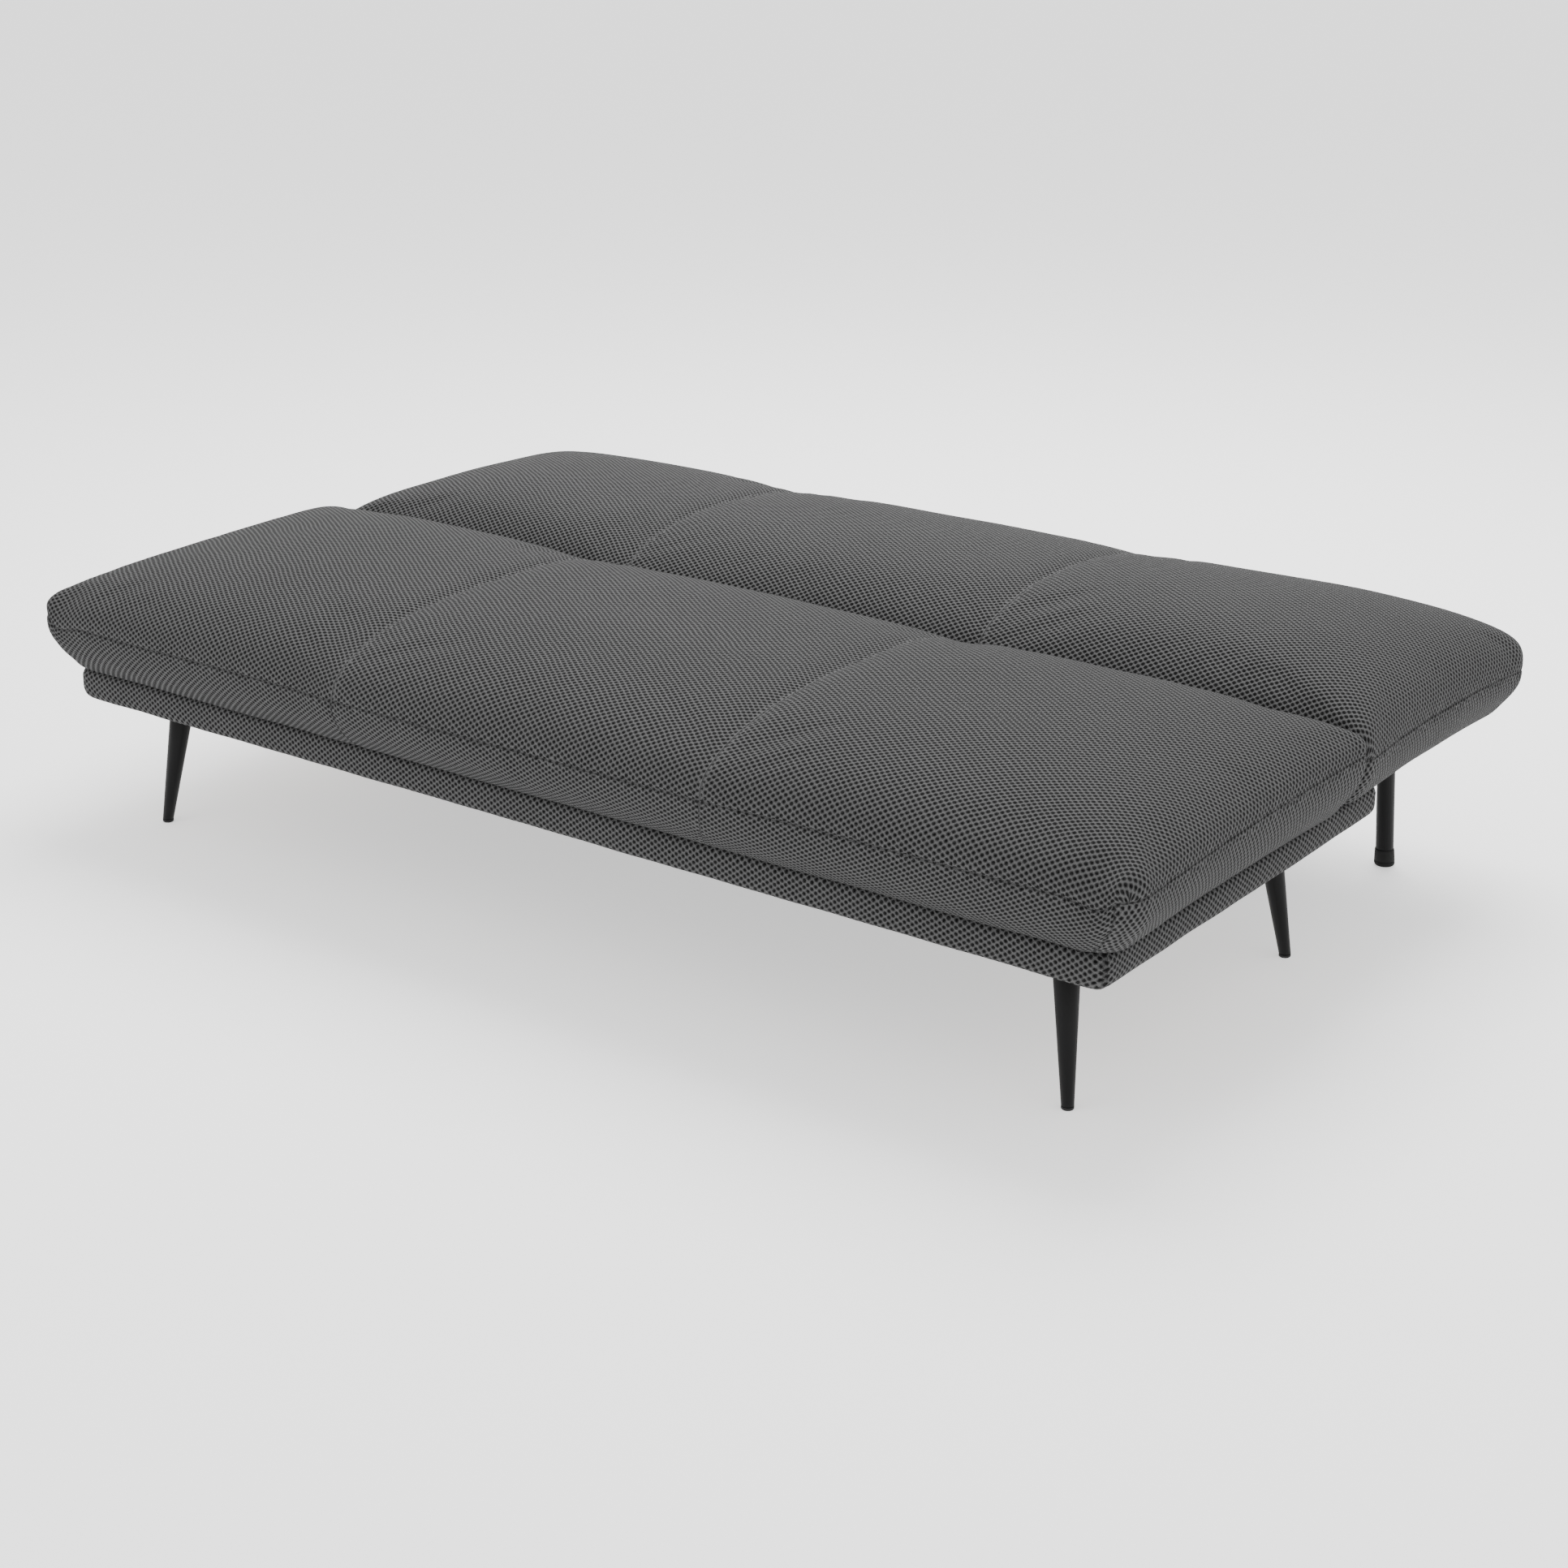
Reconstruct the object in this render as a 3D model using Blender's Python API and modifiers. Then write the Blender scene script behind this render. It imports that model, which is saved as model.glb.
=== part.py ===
"""A three-seat click-clack sofa bed, modelled lying flat as a bed.

The seat section stands on four splayed tapered legs. The back section turns about two swan-neck hinges
in the gap between the cushions, and stands on two tubular support legs that fold up under it.

Frame: metres, +X along the width, +Y from the seat's front towards the back section, +Z up.
The origin is on the floor, under the middle of the bed's outline.
"""

import math

import bmesh
import bpy
from mathutils import Matrix, Vector

# ---------------------------------------------------------------- driving dimensions
CLEAR = 0.0003                 # gap between pieces that touch
SEAT_HALF_WIDTH = 0.900
BACK_HALF_WIDTH = 0.888
SEAT_FRONT = -0.5475
SEAT_INNER = 0.036             # the seat cushion's edge at the gap
BACK_INNER = 0.044             # the back cushion's edge at the gap
BACK_REAR = 0.5475
SEGMENT_HALF = 0.305           # half of the middle segment; the sewn lines are at +- this

SEAT_SEAM_Z = 0.312            # where the top panel meets the boxing
BACK_SEAM_Z = 0.302
SEAT_RISE = 0.089              # crown above that seam
BACK_RISE = 0.112
BACK_DROOP = 0.014             # the back section's outer edge is this much lower
PUFF = 0.006                   # how far a segment stands above its sewn lines
SEAT_BOTTOM_Z = 0.2425
BACK_BOTTOM_Z = 0.2405
COVER_THICK = 0.003
FOAM_GAP = 0.007               # cover's outside to the foam's outside

BASE_HALF_WIDTH = 0.843        # fabric-wrapped plinth
BASE_FRONT = -0.513
BASE_REAR = 0.163
BASE_BOTTOM_Z = 0.198
BASE_TOP_Z = 0.238
BASE_COVER_THICK = 0.0025
BASE_CORNER = 0.014            # plan radius of its corners

RAIL_INSET = 0.023             # plinth cover's outside to the rails
RAIL_THICK = 0.022
RAIL_Z = (0.2045, 0.2260)
DUST_COVER_Z = (0.2020, RAIL_Z[0] - CLEAR)
WOOD_BEVEL = 0.002
BEARER_X = (0.7123, 0.7603)
MID_RAIL_Y = (0.008, 0.030)
SLAT_X = (-0.65, -0.47, -0.13, 0.13, 0.47, 0.65)
SLAT_WIDTH = 0.060
SLAT_THICK = 0.008
SLAT_BOW = 0.006

FOOT_X = 0.765
FRONT_FOOT_Y = -0.444
REAR_FOOT_Y = 0.096
LEG_SPLAY_X = 0.130            # run for each metre of height
LEG_SPLAY_Y = 0.135
LEG_FOOT_RADIUS = 0.0085
LEG_TOP_RADIUS = 0.0185
PLATE_THICK = 0.003            # the mounting plates, screwed under the bearers
PLATE_HALF = 0.022
LEG_TOP_Z = RAIL_Z[0] - PLATE_THICK - 2 * CLEAR
STUD_RADIUS = 0.004
STUD_HEIGHT = 0.016            # how far the threaded stud stands above the leg
GLIDE_HEIGHT = 0.004

HINGE_Y = 0.040
HINGE_Z = 0.333
HINGE_HEAD = 0.016
HINGE_PIN_RADIUS = 0.004
PIN_CLEARANCE = 0.0002         # all round each pin
SEAT_ARM_X = (0.7080, 0.7120)
BACK_ARM_X = (0.7126, 0.7166)
RATCHET_X = (0.7172, 0.7252)
RATCHET_RADIUS = 0.014
ARM_NECK_Y = (0.026, 0.056)
SEAT_ARM_END_Y = -0.120        # where each arm's foot ends along its rail
BACK_ARM_END_Y = 0.230
ARM_FOOT_MARGIN = 0.001        # the feet are this much narrower than the rails, above and below
HINGE_RIVET_HEAD = (0.0065, 0.0020)    # radius and thickness
SLOT_X = (0.7045, 0.7290)      # the slits that the hinges stand in
SLOT_Y = (0.012, 0.068)
SLOT_TOP_Z = 0.3530

BACK_RAIL_Z = (0.2432, 0.2680)
BACK_SIDE_RAIL_X = (0.7169, 0.7419)
BACK_INNER_RAIL_Y = (0.078, 0.100)
BACK_OUTER_RAIL_Y = (0.482, 0.504)
BACK_PANEL_THICK = 0.006
BACK_PANEL_HALF = 0.820        # half its width
LINING_Z = (0.2408, 0.2424)

SUPPORT_X = 0.730
SUPPORT_FOOT_Y = 0.462
SUPPORT_PIVOT_Z = 0.222
SUPPORT_LEAN = math.radians(7.0)
SUPPORT_RADIUS = 0.0125
SUPPORT_STUB = 0.006           # the tube above its pin, short enough to turn under the bracket's top
SUPPORT_CAP_RADIUS = 0.0142
SUPPORT_CAP_HEIGHT = 0.026
SUPPORT_PIN_RADIUS = 0.003
SUPPORT_RIVET_HEAD = (0.0055, 0.0015)
BRACKET_WALL = 0.0025
BRACKET_PLAY = 0.0015          # from the tube to each cheek
BRACKET_Y = (-0.020, 0.016)    # the bracket's ends, from its pin
BRACKET_DROP = 0.010           # how far its cheeks reach below the pin
CAP_FLOOR = 0.004              # rubber under the tube

SIDES = (("left", -1.0), ("right", 1.0))


# ---------------------------------------------------------------- scene and materials
def clear_scene():
    for obj in list(bpy.data.objects):
        bpy.data.objects.remove(obj, do_unlink=True)


def new_collection(name):
    collection = bpy.data.collections.new(name)
    bpy.context.scene.collection.children.link(collection)
    return collection


def new_material(name, color, roughness, metallic=0.0):
    material = bpy.data.materials.new(name)
    material.use_nodes = True
    shader = material.node_tree.nodes["Principled BSDF"]
    shader.inputs["Base Color"].default_value = (*color, 1.0)
    shader.inputs["Roughness"].default_value = roughness
    shader.inputs["Metallic"].default_value = metallic
    return material


clear_scene()
PARTS = new_collection("sofa_bed")
CUTTERS = new_collection("cutters")
MESH_FABRIC = new_material("mesh_fabric", (0.11, 0.11, 0.115), 0.9)
LINING_FABRIC = new_material("lining_fabric", (0.02, 0.02, 0.02), 0.95)
FOAM = new_material("foam", (0.75, 0.72, 0.62), 0.95)
WOOD = new_material("wood", (0.55, 0.38, 0.22), 0.7)
BLACK_METAL = new_material("black_metal", (0.012, 0.012, 0.012), 0.45, 0.6)
ZINC_STEEL = new_material("zinc_steel", (0.62, 0.63, 0.65), 0.35, 1.0)
BLACK_RUBBER = new_material("black_rubber", (0.015, 0.015, 0.015), 0.8)
BLACK_PLASTIC = new_material("black_plastic", (0.03, 0.03, 0.03), 0.6)


# ---------------------------------------------------------------- shape helpers
def add_object(name, data, material, parent=None):
    obj = bpy.data.objects.new(name, data)
    PARTS.objects.link(obj)
    obj.data.materials.append(material)
    if parent is not None:
        attach(obj, parent)
    return obj


def add_mesh(name, bm, material, parent=None, smooth=False):
    bmesh.ops.recalc_face_normals(bm, faces=bm.faces)
    mesh = bpy.data.meshes.new(name)
    bm.to_mesh(mesh)
    bm.free()
    if smooth:
        mesh.shade_smooth()
        mesh.set_sharp_from_angle(angle=math.radians(40))
    return add_object(name, mesh, material, parent)


def add_pivot(name, location):
    """An empty on a joint's axis, which the pieces of the moving body are parented to."""
    pivot = bpy.data.objects.new(name, None)
    PARTS.objects.link(pivot)
    pivot.location = location
    bpy.context.view_layer.update()
    return pivot


def cuboid(low, high):
    """A box between two corners, as a bmesh."""
    bm = bmesh.new()
    bmesh.ops.create_cube(bm, size=1.0)
    size = [h - l for l, h in zip(low, high)]
    centre = [(h + l) / 2 for l, h in zip(low, high)]
    bmesh.ops.scale(bm, vec=size, verts=bm.verts)
    bmesh.ops.translate(bm, vec=centre, verts=bm.verts)
    return bm


def box(name, low, high, material, parent=None):
    return add_mesh(name, cuboid(low, high), material, parent)


def timber(name, low, high, parent=None):
    """A planed wooden rail or bearer, with its edges broken."""
    rail = box(name, low, high, WOOD, parent)
    planed = rail.modifiers.new("broken_edges", "BEVEL")
    planed.width = WOOD_BEVEL
    planed.segments = 1
    return rail


def mirrored_box(side, x_range, y_range, z_range):
    """The low and high corners of a box whose X range is given for the right side."""
    x_low, x_high = sorted(side * x for x in x_range)
    return (x_low, y_range[0], z_range[0]), (x_high, y_range[1], z_range[1])


def cylinder(centre, radius, depth, sides=24):
    """A cylinder along X, as a bmesh."""
    bm = bmesh.new()
    bmesh.ops.create_cone(
        bm, cap_ends=True, segments=sides, radius1=radius, radius2=radius, depth=depth
    )
    bmesh.ops.rotate(bm, verts=bm.verts, matrix=Matrix.Rotation(math.pi / 2, 3, "Y"))
    bmesh.ops.translate(bm, verts=bm.verts, vec=centre)
    return bm


def upright_cone(low_z, high_z, low_radius, high_radius, sides=24):
    """A cylinder or tapered rod along Z on the origin's axis, as a bmesh."""
    bm = bmesh.new()
    bmesh.ops.create_cone(
        bm, cap_ends=True, segments=sides, radius1=low_radius, radius2=high_radius, depth=high_z - low_z
    )
    bmesh.ops.translate(bm, verts=bm.verts, vec=(0.0, 0.0, (high_z + low_z) / 2))
    return bm


def lean(bm, foot_x, foot_y, slope_x, slope_y):
    """Moves an upright shape onto its foot and slants it, keeping its ends level."""
    for vert in bm.verts:
        vert.co.x += foot_x + slope_x * vert.co.z
        vert.co.y += foot_y + slope_y * vert.co.z
    return bm


def attach(obj, parent):
    """Parents a placed piece to a moving body's empty without moving it."""
    bpy.context.view_layer.update()
    obj.parent = parent
    obj.matrix_parent_inverse = parent.matrix_world.inverted()


def add_cutter(name, bm):
    """A helper shape that a Boolean takes away from a piece; it is never part of the model."""
    mesh = bpy.data.meshes.new(name)
    bm.to_mesh(mesh)
    bm.free()
    cutter = bpy.data.objects.new(name, mesh)
    CUTTERS.objects.link(cutter)
    cutter.hide_render = True
    cutter.display_type = "WIRE"
    return cutter


def cut_away(obj, cutters):
    for cutter in cutters:
        cut = obj.modifiers.new(cutter.name, "BOOLEAN")
        cut.operation = "DIFFERENCE"
        cut.object = cutter


def circle_points(centre, radius, start=0.0, sweep=math.tau, steps=24, with_end=False):
    """Points along an arc about a centre, in the plate's own plane."""
    count = steps + 1 if with_end else steps
    angles = [start + sweep * i / steps for i in range(count)]
    return [(centre[0] + radius * math.cos(a), centre[1] + radius * math.sin(a)) for a in angles]


def plate(name, outline, holes, x_range, material, parent=None):
    """A flat plate in the YZ plane: a filled 2D curve, with holes, extruded along X."""
    curve = bpy.data.curves.new(name, "CURVE")
    curve.dimensions = "2D"
    curve.fill_mode = "BOTH"
    curve.extrude = abs(x_range[1] - x_range[0]) / 2
    for points in (outline, *holes):
        spline = curve.splines.new("POLY")
        spline.points.add(len(points) - 1)
        for slot, (y, z) in zip(spline.points, points):
            slot.co = (y, z, 0.0, 1.0)
        spline.use_cyclic_u = True
    obj = add_object(name, curve, material)
    obj.rotation_euler = (math.pi / 2, 0.0, math.pi / 2)
    obj.location.x = sum(x_range) / 2
    if parent is not None:
        attach(obj, parent)
    return obj


def turned(name, profile, location, material, parent=None, steps=24):
    """A solid of revolution about Z: the profile is (radius, height) pairs from top to bottom."""
    bm = bmesh.new()
    verts = [bm.verts.new((radius, 0.0, height)) for radius, height in profile]
    for upper, lower in zip(verts, verts[1:]):
        bm.edges.new((upper, lower))
    mesh = bpy.data.meshes.new(name)
    bm.to_mesh(mesh)
    bm.free()
    obj = add_object(name, mesh, material)
    screw = obj.modifiers.new("turn", "SCREW")
    screw.steps = steps
    screw.render_steps = steps
    screw.use_merge_vertices = True
    screw.merge_threshold = 0.0001
    screw.use_smooth_shade = True
    obj.location = location
    if parent is not None:
        attach(obj, parent)
    return obj


# ---------------------------------------------------------------- cushions
def roll(distance, radius, power=2.4):
    """A rounded edge: 0 at the edge, rising to 1 at the roll's full radius."""
    inner = min(max(1.0 - distance / radius, 0.0), 1.0)
    return (1.0 - inner**power) ** (1.0 / power)


def joined_rolls(across, along):
    """Two edge rolls met at a full corner: each holds where the other is 1."""
    small = 1e-4
    return ((across + small) ** -2 + (along + small) ** -2 - 1.0) ** -0.5


def rounded_corner(x, y, half_x, half_y, radius):
    """Moves a point of a rectangle so that the rectangle's corners become arcs."""
    over_x = abs(x) - (half_x - radius)
    over_y = abs(y) - (half_y - radius)
    if over_x <= 0.0 or over_y <= 0.0:
        return x, y
    arc_x = over_x * math.sqrt(1.0 - (over_y / radius) ** 2 / 2)
    arc_y = over_y * math.sqrt(1.0 - (over_x / radius) ** 2 / 2)
    return (
        math.copysign(half_x - radius + arc_x, x),
        math.copysign(half_y - radius + arc_y, y),
    )


class CushionForm:
    """One section's crowned top and tapering boxing; inset > 0 gives the same form, smaller."""

    def __init__(self, half_width, front, rear, seam_z, rise, droop, bottom_z, front_roll, rear_roll,
                 taper_x, taper_front, taper_rear, inset=0.0):
        self.half_x = half_width - inset
        self.front = front + inset
        self.rear = rear - inset
        self.seam_z = seam_z
        self.rise = rise - inset
        self.droop = droop
        self.bottom_z = bottom_z
        self.front_roll = front_roll
        self.rear_roll = rear_roll
        self.taper_x = taper_x
        self.taper_front = taper_front
        self.taper_rear = taper_rear
        self.end_roll = 0.42
        self.corner = 0.045

    @property
    def half_y(self):
        return (self.rear - self.front) / 2

    @property
    def middle_y(self):
        return (self.rear + self.front) / 2

    def puff(self, x):
        """0 on a sewn line, 1 in the middle of a segment."""
        if abs(x) <= SEGMENT_HALF:
            share = (x / SEGMENT_HALF + 1.0) / 2
        else:
            share = (abs(x) - SEGMENT_HALF) / (self.half_x - SEGMENT_HALF)
        return math.sin(math.pi * min(max(share, 0.0), 1.0)) ** 0.6

    def top(self, u, v):
        """The top panel's point for u and v from -1 to 1."""
        x = self.half_x * math.sin(math.pi / 2 * u)
        y = self.middle_y + self.half_y * math.sin(math.pi / 2 * v)
        across = roll(self.half_x - abs(x), self.end_roll, 2.5)
        along = roll(y - self.front, self.front_roll) * roll(self.rear - y, self.rear_roll)
        share = joined_rolls(across, along)
        lowered = self.droop * (y - self.front) / (self.rear - self.front)
        z = self.seam_z - lowered + (self.rise + PUFF * self.puff(x)) * share
        x, y = rounded_corner(x, y - self.middle_y, self.half_x, self.half_y, self.corner)
        return Vector((x, y + self.middle_y, z))

    def boxing(self, seam, depth):
        """The point below a seam point, at a depth share from 0 at the seam to 1 at the bottom."""
        pulled = depth**1.8
        x = seam.x * (1.0 - self.taper_x * pulled / self.half_x)
        offset = seam.y - self.middle_y
        taper = self.taper_front if offset < 0.0 else self.taper_rear
        y = self.middle_y + offset * (1.0 - taper * pulled / self.half_y)
        return Vector((x, y, seam.z * (1.0 - depth) + self.bottom_z * depth))


def cushion_surface(form, columns=24, rows=10, boxing_rows=3):
    """The form's open surface as a bmesh: a grid for the top, then rings down the boxing."""
    bm = bmesh.new()
    bmesh.ops.create_grid(bm, x_segments=columns, y_segments=rows, size=1.0)
    for vert in bm.verts:
        vert.co = form.top(vert.co.x, vert.co.y)
    rim = [edge for edge in bm.edges if edge.is_boundary]
    seams = {vert: vert.co.copy() for edge in rim for vert in edge.verts}
    for row in range(1, boxing_rows + 1):
        made = bmesh.ops.extrude_edge_only(bm, edges=rim)["geom"]
        rim = [item for item in made if isinstance(item, bmesh.types.BMEdge) and item.is_boundary]
        lower = {}
        for edge in {edge for vert in seams for edge in vert.link_edges}:
            above, below = edge.verts if edge.verts[0] in seams else reversed(edge.verts)
            if below in made:
                lower[below] = seams[above]
        for vert, seam in lower.items():
            vert.co = form.boxing(seam, row / boxing_rows)
        seams = lower
    return bm


def slot_cutters():
    """The slits in both cushions' inner ends, one for each hinge."""
    made = []
    for label, side in SIDES:
        low, high = mirrored_box(side, SLOT_X, SLOT_Y, (RAIL_Z[0], SLOT_TOP_Z))
        made.append(add_cutter(f"slot_{label}", cuboid(low, high)))
    return made


def cover_and_foam(section, form_of, foam_bottom_z, cutters, parent=None):
    """A section's sewn cover, open underneath, and the foam inside it."""
    surface = cushion_surface(form_of(0.0))
    cover = add_mesh(f"{section}_cover", surface, MESH_FABRIC, parent, smooth=True)
    thickness = cover.modifiers.new("thickness", "SOLIDIFY")
    thickness.thickness = COVER_THICK
    thickness.offset = -1.0
    cut_away(cover, cutters)

    inner = form_of(FOAM_GAP)
    inner.bottom_z = foam_bottom_z
    block = cushion_surface(inner)
    bmesh.ops.holes_fill(block, edges=[edge for edge in block.edges if edge.is_boundary])
    foam = add_mesh(f"{section}_foam", block, FOAM, parent, smooth=True)
    cut_away(foam, cutters)


def seat_form(inset):
    return CushionForm(
        SEAT_HALF_WIDTH, SEAT_FRONT, SEAT_INNER, SEAT_SEAM_Z, SEAT_RISE, 0.0, SEAT_BOTTOM_Z,
        front_roll=0.33, rear_roll=0.24, taper_x=0.055, taper_front=0.036, taper_rear=0.020, inset=inset,
    )


def back_form(inset):
    return CushionForm(
        BACK_HALF_WIDTH, BACK_INNER, BACK_REAR, BACK_SEAM_Z, BACK_RISE, BACK_DROOP, BACK_BOTTOM_Z,
        front_roll=0.26, rear_roll=0.30, taper_x=0.034, taper_front=0.020, taper_rear=0.030, inset=inset,
    )


# ---------------------------------------------------------------- plinth
def base_cover():
    """The plinth's fabric wrap: a rounded band, turned in at the top and the bottom."""
    half_y = (BASE_REAR - BASE_FRONT) / 2
    middle_y = (BASE_REAR + BASE_FRONT) / 2
    section = (  # inset from the outside, and height
        (0.012, BASE_TOP_Z), (0.003, BASE_TOP_Z - 0.003), (0.0, BASE_TOP_Z - 0.014),
        (0.0, BASE_BOTTOM_Z + 0.010), (0.004, BASE_BOTTOM_Z + 0.0025), (0.011, BASE_BOTTOM_Z),
        (0.034, BASE_BOTTOM_Z),
    )
    quarter = 5
    bm = bmesh.new()
    rings = []
    for inset, z in section:
        radius = max(BASE_CORNER - inset, 0.004)
        ring = []
        for turn in range(4):
            centre_x = (BASE_HALF_WIDTH - inset - radius) * (1 if turn in (0, 3) else -1)
            centre_y = (half_y - inset - radius) * (1 if turn in (0, 1) else -1)
            for step in range(quarter):
                angle = math.pi / 2 * (turn + step / (quarter - 1))
                x = centre_x + radius * math.cos(angle)
                y = middle_y + centre_y + radius * math.sin(angle)
                ring.append(bm.verts.new((x, y, z)))
        rings.append(ring)
    count = len(rings[0])
    for upper, lower in zip(rings, rings[1:]):
        for i in range(count):
            j = (i + 1) % count
            bm.faces.new((upper[i], lower[i], lower[j], upper[j]))
    cover = add_mesh("base_cover", bm, MESH_FABRIC, smooth=True)
    thickness = cover.modifiers.new("thickness", "SOLIDIFY")
    thickness.thickness = BASE_COVER_THICK
    thickness.offset = -1.0


def plinth_rails():
    outer_x = BASE_HALF_WIDTH - RAIL_INSET
    front = BASE_FRONT + RAIL_INSET
    rear = BASE_REAR - RAIL_INSET
    inner_y = (front + RAIL_THICK + CLEAR, rear - RAIL_THICK - CLEAR)
    timber("base_front_rail", (-outer_x, front, RAIL_Z[0]), (outer_x, front + RAIL_THICK, RAIL_Z[1]))
    timber("base_rear_rail", (-outer_x, rear - RAIL_THICK, RAIL_Z[0]), (outer_x, rear, RAIL_Z[1]))
    bearers = {}
    for label, side in SIDES:
        rail = mirrored_box(side, (outer_x - RAIL_THICK, outer_x), inner_y, RAIL_Z)
        timber(f"base_{label}_rail", *rail)
        bearer = mirrored_box(side, BEARER_X, inner_y, RAIL_Z)
        bearers[label] = timber(f"base_{label}_bearer", *bearer)
    end = SEAT_ARM_X[0] - CLEAR
    timber("seat_rear_rail", (-end, MID_RAIL_Y[0], RAIL_Z[0]), (end, MID_RAIL_Y[1], RAIL_Z[1]))
    box(
        "dust_cover",
        (-BEARER_X[0] + 0.008, inner_y[0], DUST_COVER_Z[0]),
        (BEARER_X[0] - 0.008, inner_y[1], DUST_COVER_Z[1]),
        LINING_FABRIC,
    )
    return bearers


def seat_slats():
    """Sprung slats from the front rail to the seat's rear rail, each bowed upwards."""
    front = BASE_FRONT + RAIL_INSET + 0.002
    rear = MID_RAIL_Y[1] - 0.002
    parts_along = 8
    for number, x in enumerate(SLAT_X, start=1):
        bm = cuboid((x - SLAT_WIDTH / 2, front, 0.0), (x + SLAT_WIDTH / 2, rear, SLAT_THICK))
        long_edges = [edge for edge in bm.edges if abs(edge.verts[0].co.y - edge.verts[1].co.y) > 0.1]
        bmesh.ops.subdivide_edges(bm, edges=long_edges, cuts=parts_along - 1, use_grid_fill=True)
        for vert in bm.verts:
            share = (vert.co.y - front) / (rear - front)
            vert.co.z += RAIL_Z[1] + CLEAR + SLAT_BOW * (1.0 - (2.0 * share - 1.0) ** 2)
        add_mesh(f"seat_slat_{number}", bm, WOOD)


# ---------------------------------------------------------------- tapered legs
def tapered_leg(name, foot_x, foot_y, bearer):
    """A splayed leg cut level at both ends, with its glide, its mounting plate and its threaded stud."""
    inward_x = -math.copysign(LEG_SPLAY_X, foot_x)
    inward_y = LEG_SPLAY_Y if foot_y < 0.0 else -LEG_SPLAY_Y
    shaft = upright_cone(GLIDE_HEIGHT + CLEAR, LEG_TOP_Z, LEG_FOOT_RADIUS, LEG_TOP_RADIUS)
    lean(shaft, foot_x, foot_y, inward_x, inward_y)
    add_mesh(f"leg_{name}", shaft, BLACK_METAL, smooth=True)

    glide = LEG_FOOT_RADIUS - 0.0005
    turned(
        f"glide_{name}",
        ((0.0, GLIDE_HEIGHT), (glide, GLIDE_HEIGHT), (glide, 0.001), (glide - 0.001, 0.0), (0.0, 0.0)),
        (foot_x, foot_y, 0.0),
        BLACK_PLASTIC,
        steps=20,
    )

    top_x = foot_x + inward_x * LEG_TOP_Z
    top_y = foot_y + inward_y * LEG_TOP_Z
    low_z = LEG_TOP_Z + CLEAR
    mounting = box(
        f"leg_plate_{name}",
        (top_x - PLATE_HALF, top_y - PLATE_HALF, low_z),
        (top_x + PLATE_HALF, top_y + PLATE_HALF, low_z + PLATE_THICK),
        ZINC_STEEL,
    )
    stud = upright_cone(0.0, STUD_HEIGHT, STUD_RADIUS, STUD_RADIUS, sides=16)
    bmesh.ops.translate(stud, verts=stud.verts, vec=(top_x, top_y, low_z))
    add_mesh(f"leg_stud_{name}", stud, ZINC_STEEL, smooth=True)
    hole_radius = STUD_RADIUS + PIN_CLEARANCE
    hole = upright_cone(low_z - 0.010, low_z + 2 * STUD_HEIGHT, hole_radius, hole_radius, sides=16)
    bmesh.ops.translate(hole, verts=hole.verts, vec=(top_x, top_y, 0.0))
    hole_cutter = add_cutter(f"stud_hole_{name}", hole)
    cut_away(mounting, [hole_cutter])
    cut_away(bearer, [hole_cutter])


# ---------------------------------------------------------------- hinges
def hinge_outline(foot_z, foot_end_y):
    """A swan-neck arm: a round head, a straight neck, and a foot that runs to foot_end_y."""
    neck_low, neck_high = ARM_NECK_Y
    over = math.asin((neck_high - HINGE_Y) / HINGE_HEAD)
    under = math.asin((HINGE_Y - neck_low) / HINGE_HEAD)
    head = circle_points(
        (HINGE_Y, HINGE_Z), HINGE_HEAD, start=over - math.pi / 2,
        sweep=math.tau - over - under, steps=18, with_end=True,
    )
    low_z, high_z = foot_z
    if foot_end_y < HINGE_Y:
        foot = [(neck_low, high_z), (foot_end_y, high_z), (foot_end_y, low_z), (neck_high, low_z)]
    else:
        foot = [(neck_low, low_z), (foot_end_y, low_z), (foot_end_y, high_z), (neck_high, high_z)]
    return head + foot


def pin_hole():
    return circle_points((HINGE_Y, HINGE_Z), HINGE_PIN_RADIUS + PIN_CLEARANCE)


def hinge(label, side, back_pivot):
    seat_arm_x = sorted(side * x for x in SEAT_ARM_X)
    back_arm_x = sorted(side * x for x in BACK_ARM_X)
    ratchet_x = [side * x for x in RATCHET_X]
    seat_outline = hinge_outline((RAIL_Z[0] + ARM_FOOT_MARGIN, RAIL_Z[1] - ARM_FOOT_MARGIN), SEAT_ARM_END_Y)
    back_outline = hinge_outline(
        (BACK_RAIL_Z[0] + ARM_FOOT_MARGIN, BACK_RAIL_Z[1] - ARM_FOOT_MARGIN), BACK_ARM_END_Y
    )
    plate(f"hinge_seat_arm_{label}", seat_outline, [pin_hole()], seat_arm_x, ZINC_STEEL)
    plate(f"hinge_back_arm_{label}", back_outline, [pin_hole()], back_arm_x, ZINC_STEEL, back_pivot)
    ratchet_rim = circle_points((HINGE_Y, HINGE_Z), RATCHET_RADIUS)
    plate(f"hinge_ratchet_{label}", ratchet_rim, [pin_hole()], sorted(ratchet_x), ZINC_STEEL)
    hinge_rivet(label, side)


def rivet_profile(shank_radius, length, head):
    """A rivet's half section: a shank with a flat head at each end."""
    head_radius, head_thick = head
    return (
        (0.0, length + head_thick), (head_radius, length + head_thick), (head_radius, length),
        (shank_radius, length), (shank_radius, 0.0), (head_radius, 0.0),
        (head_radius, -head_thick), (0.0, -head_thick),
    )


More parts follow.
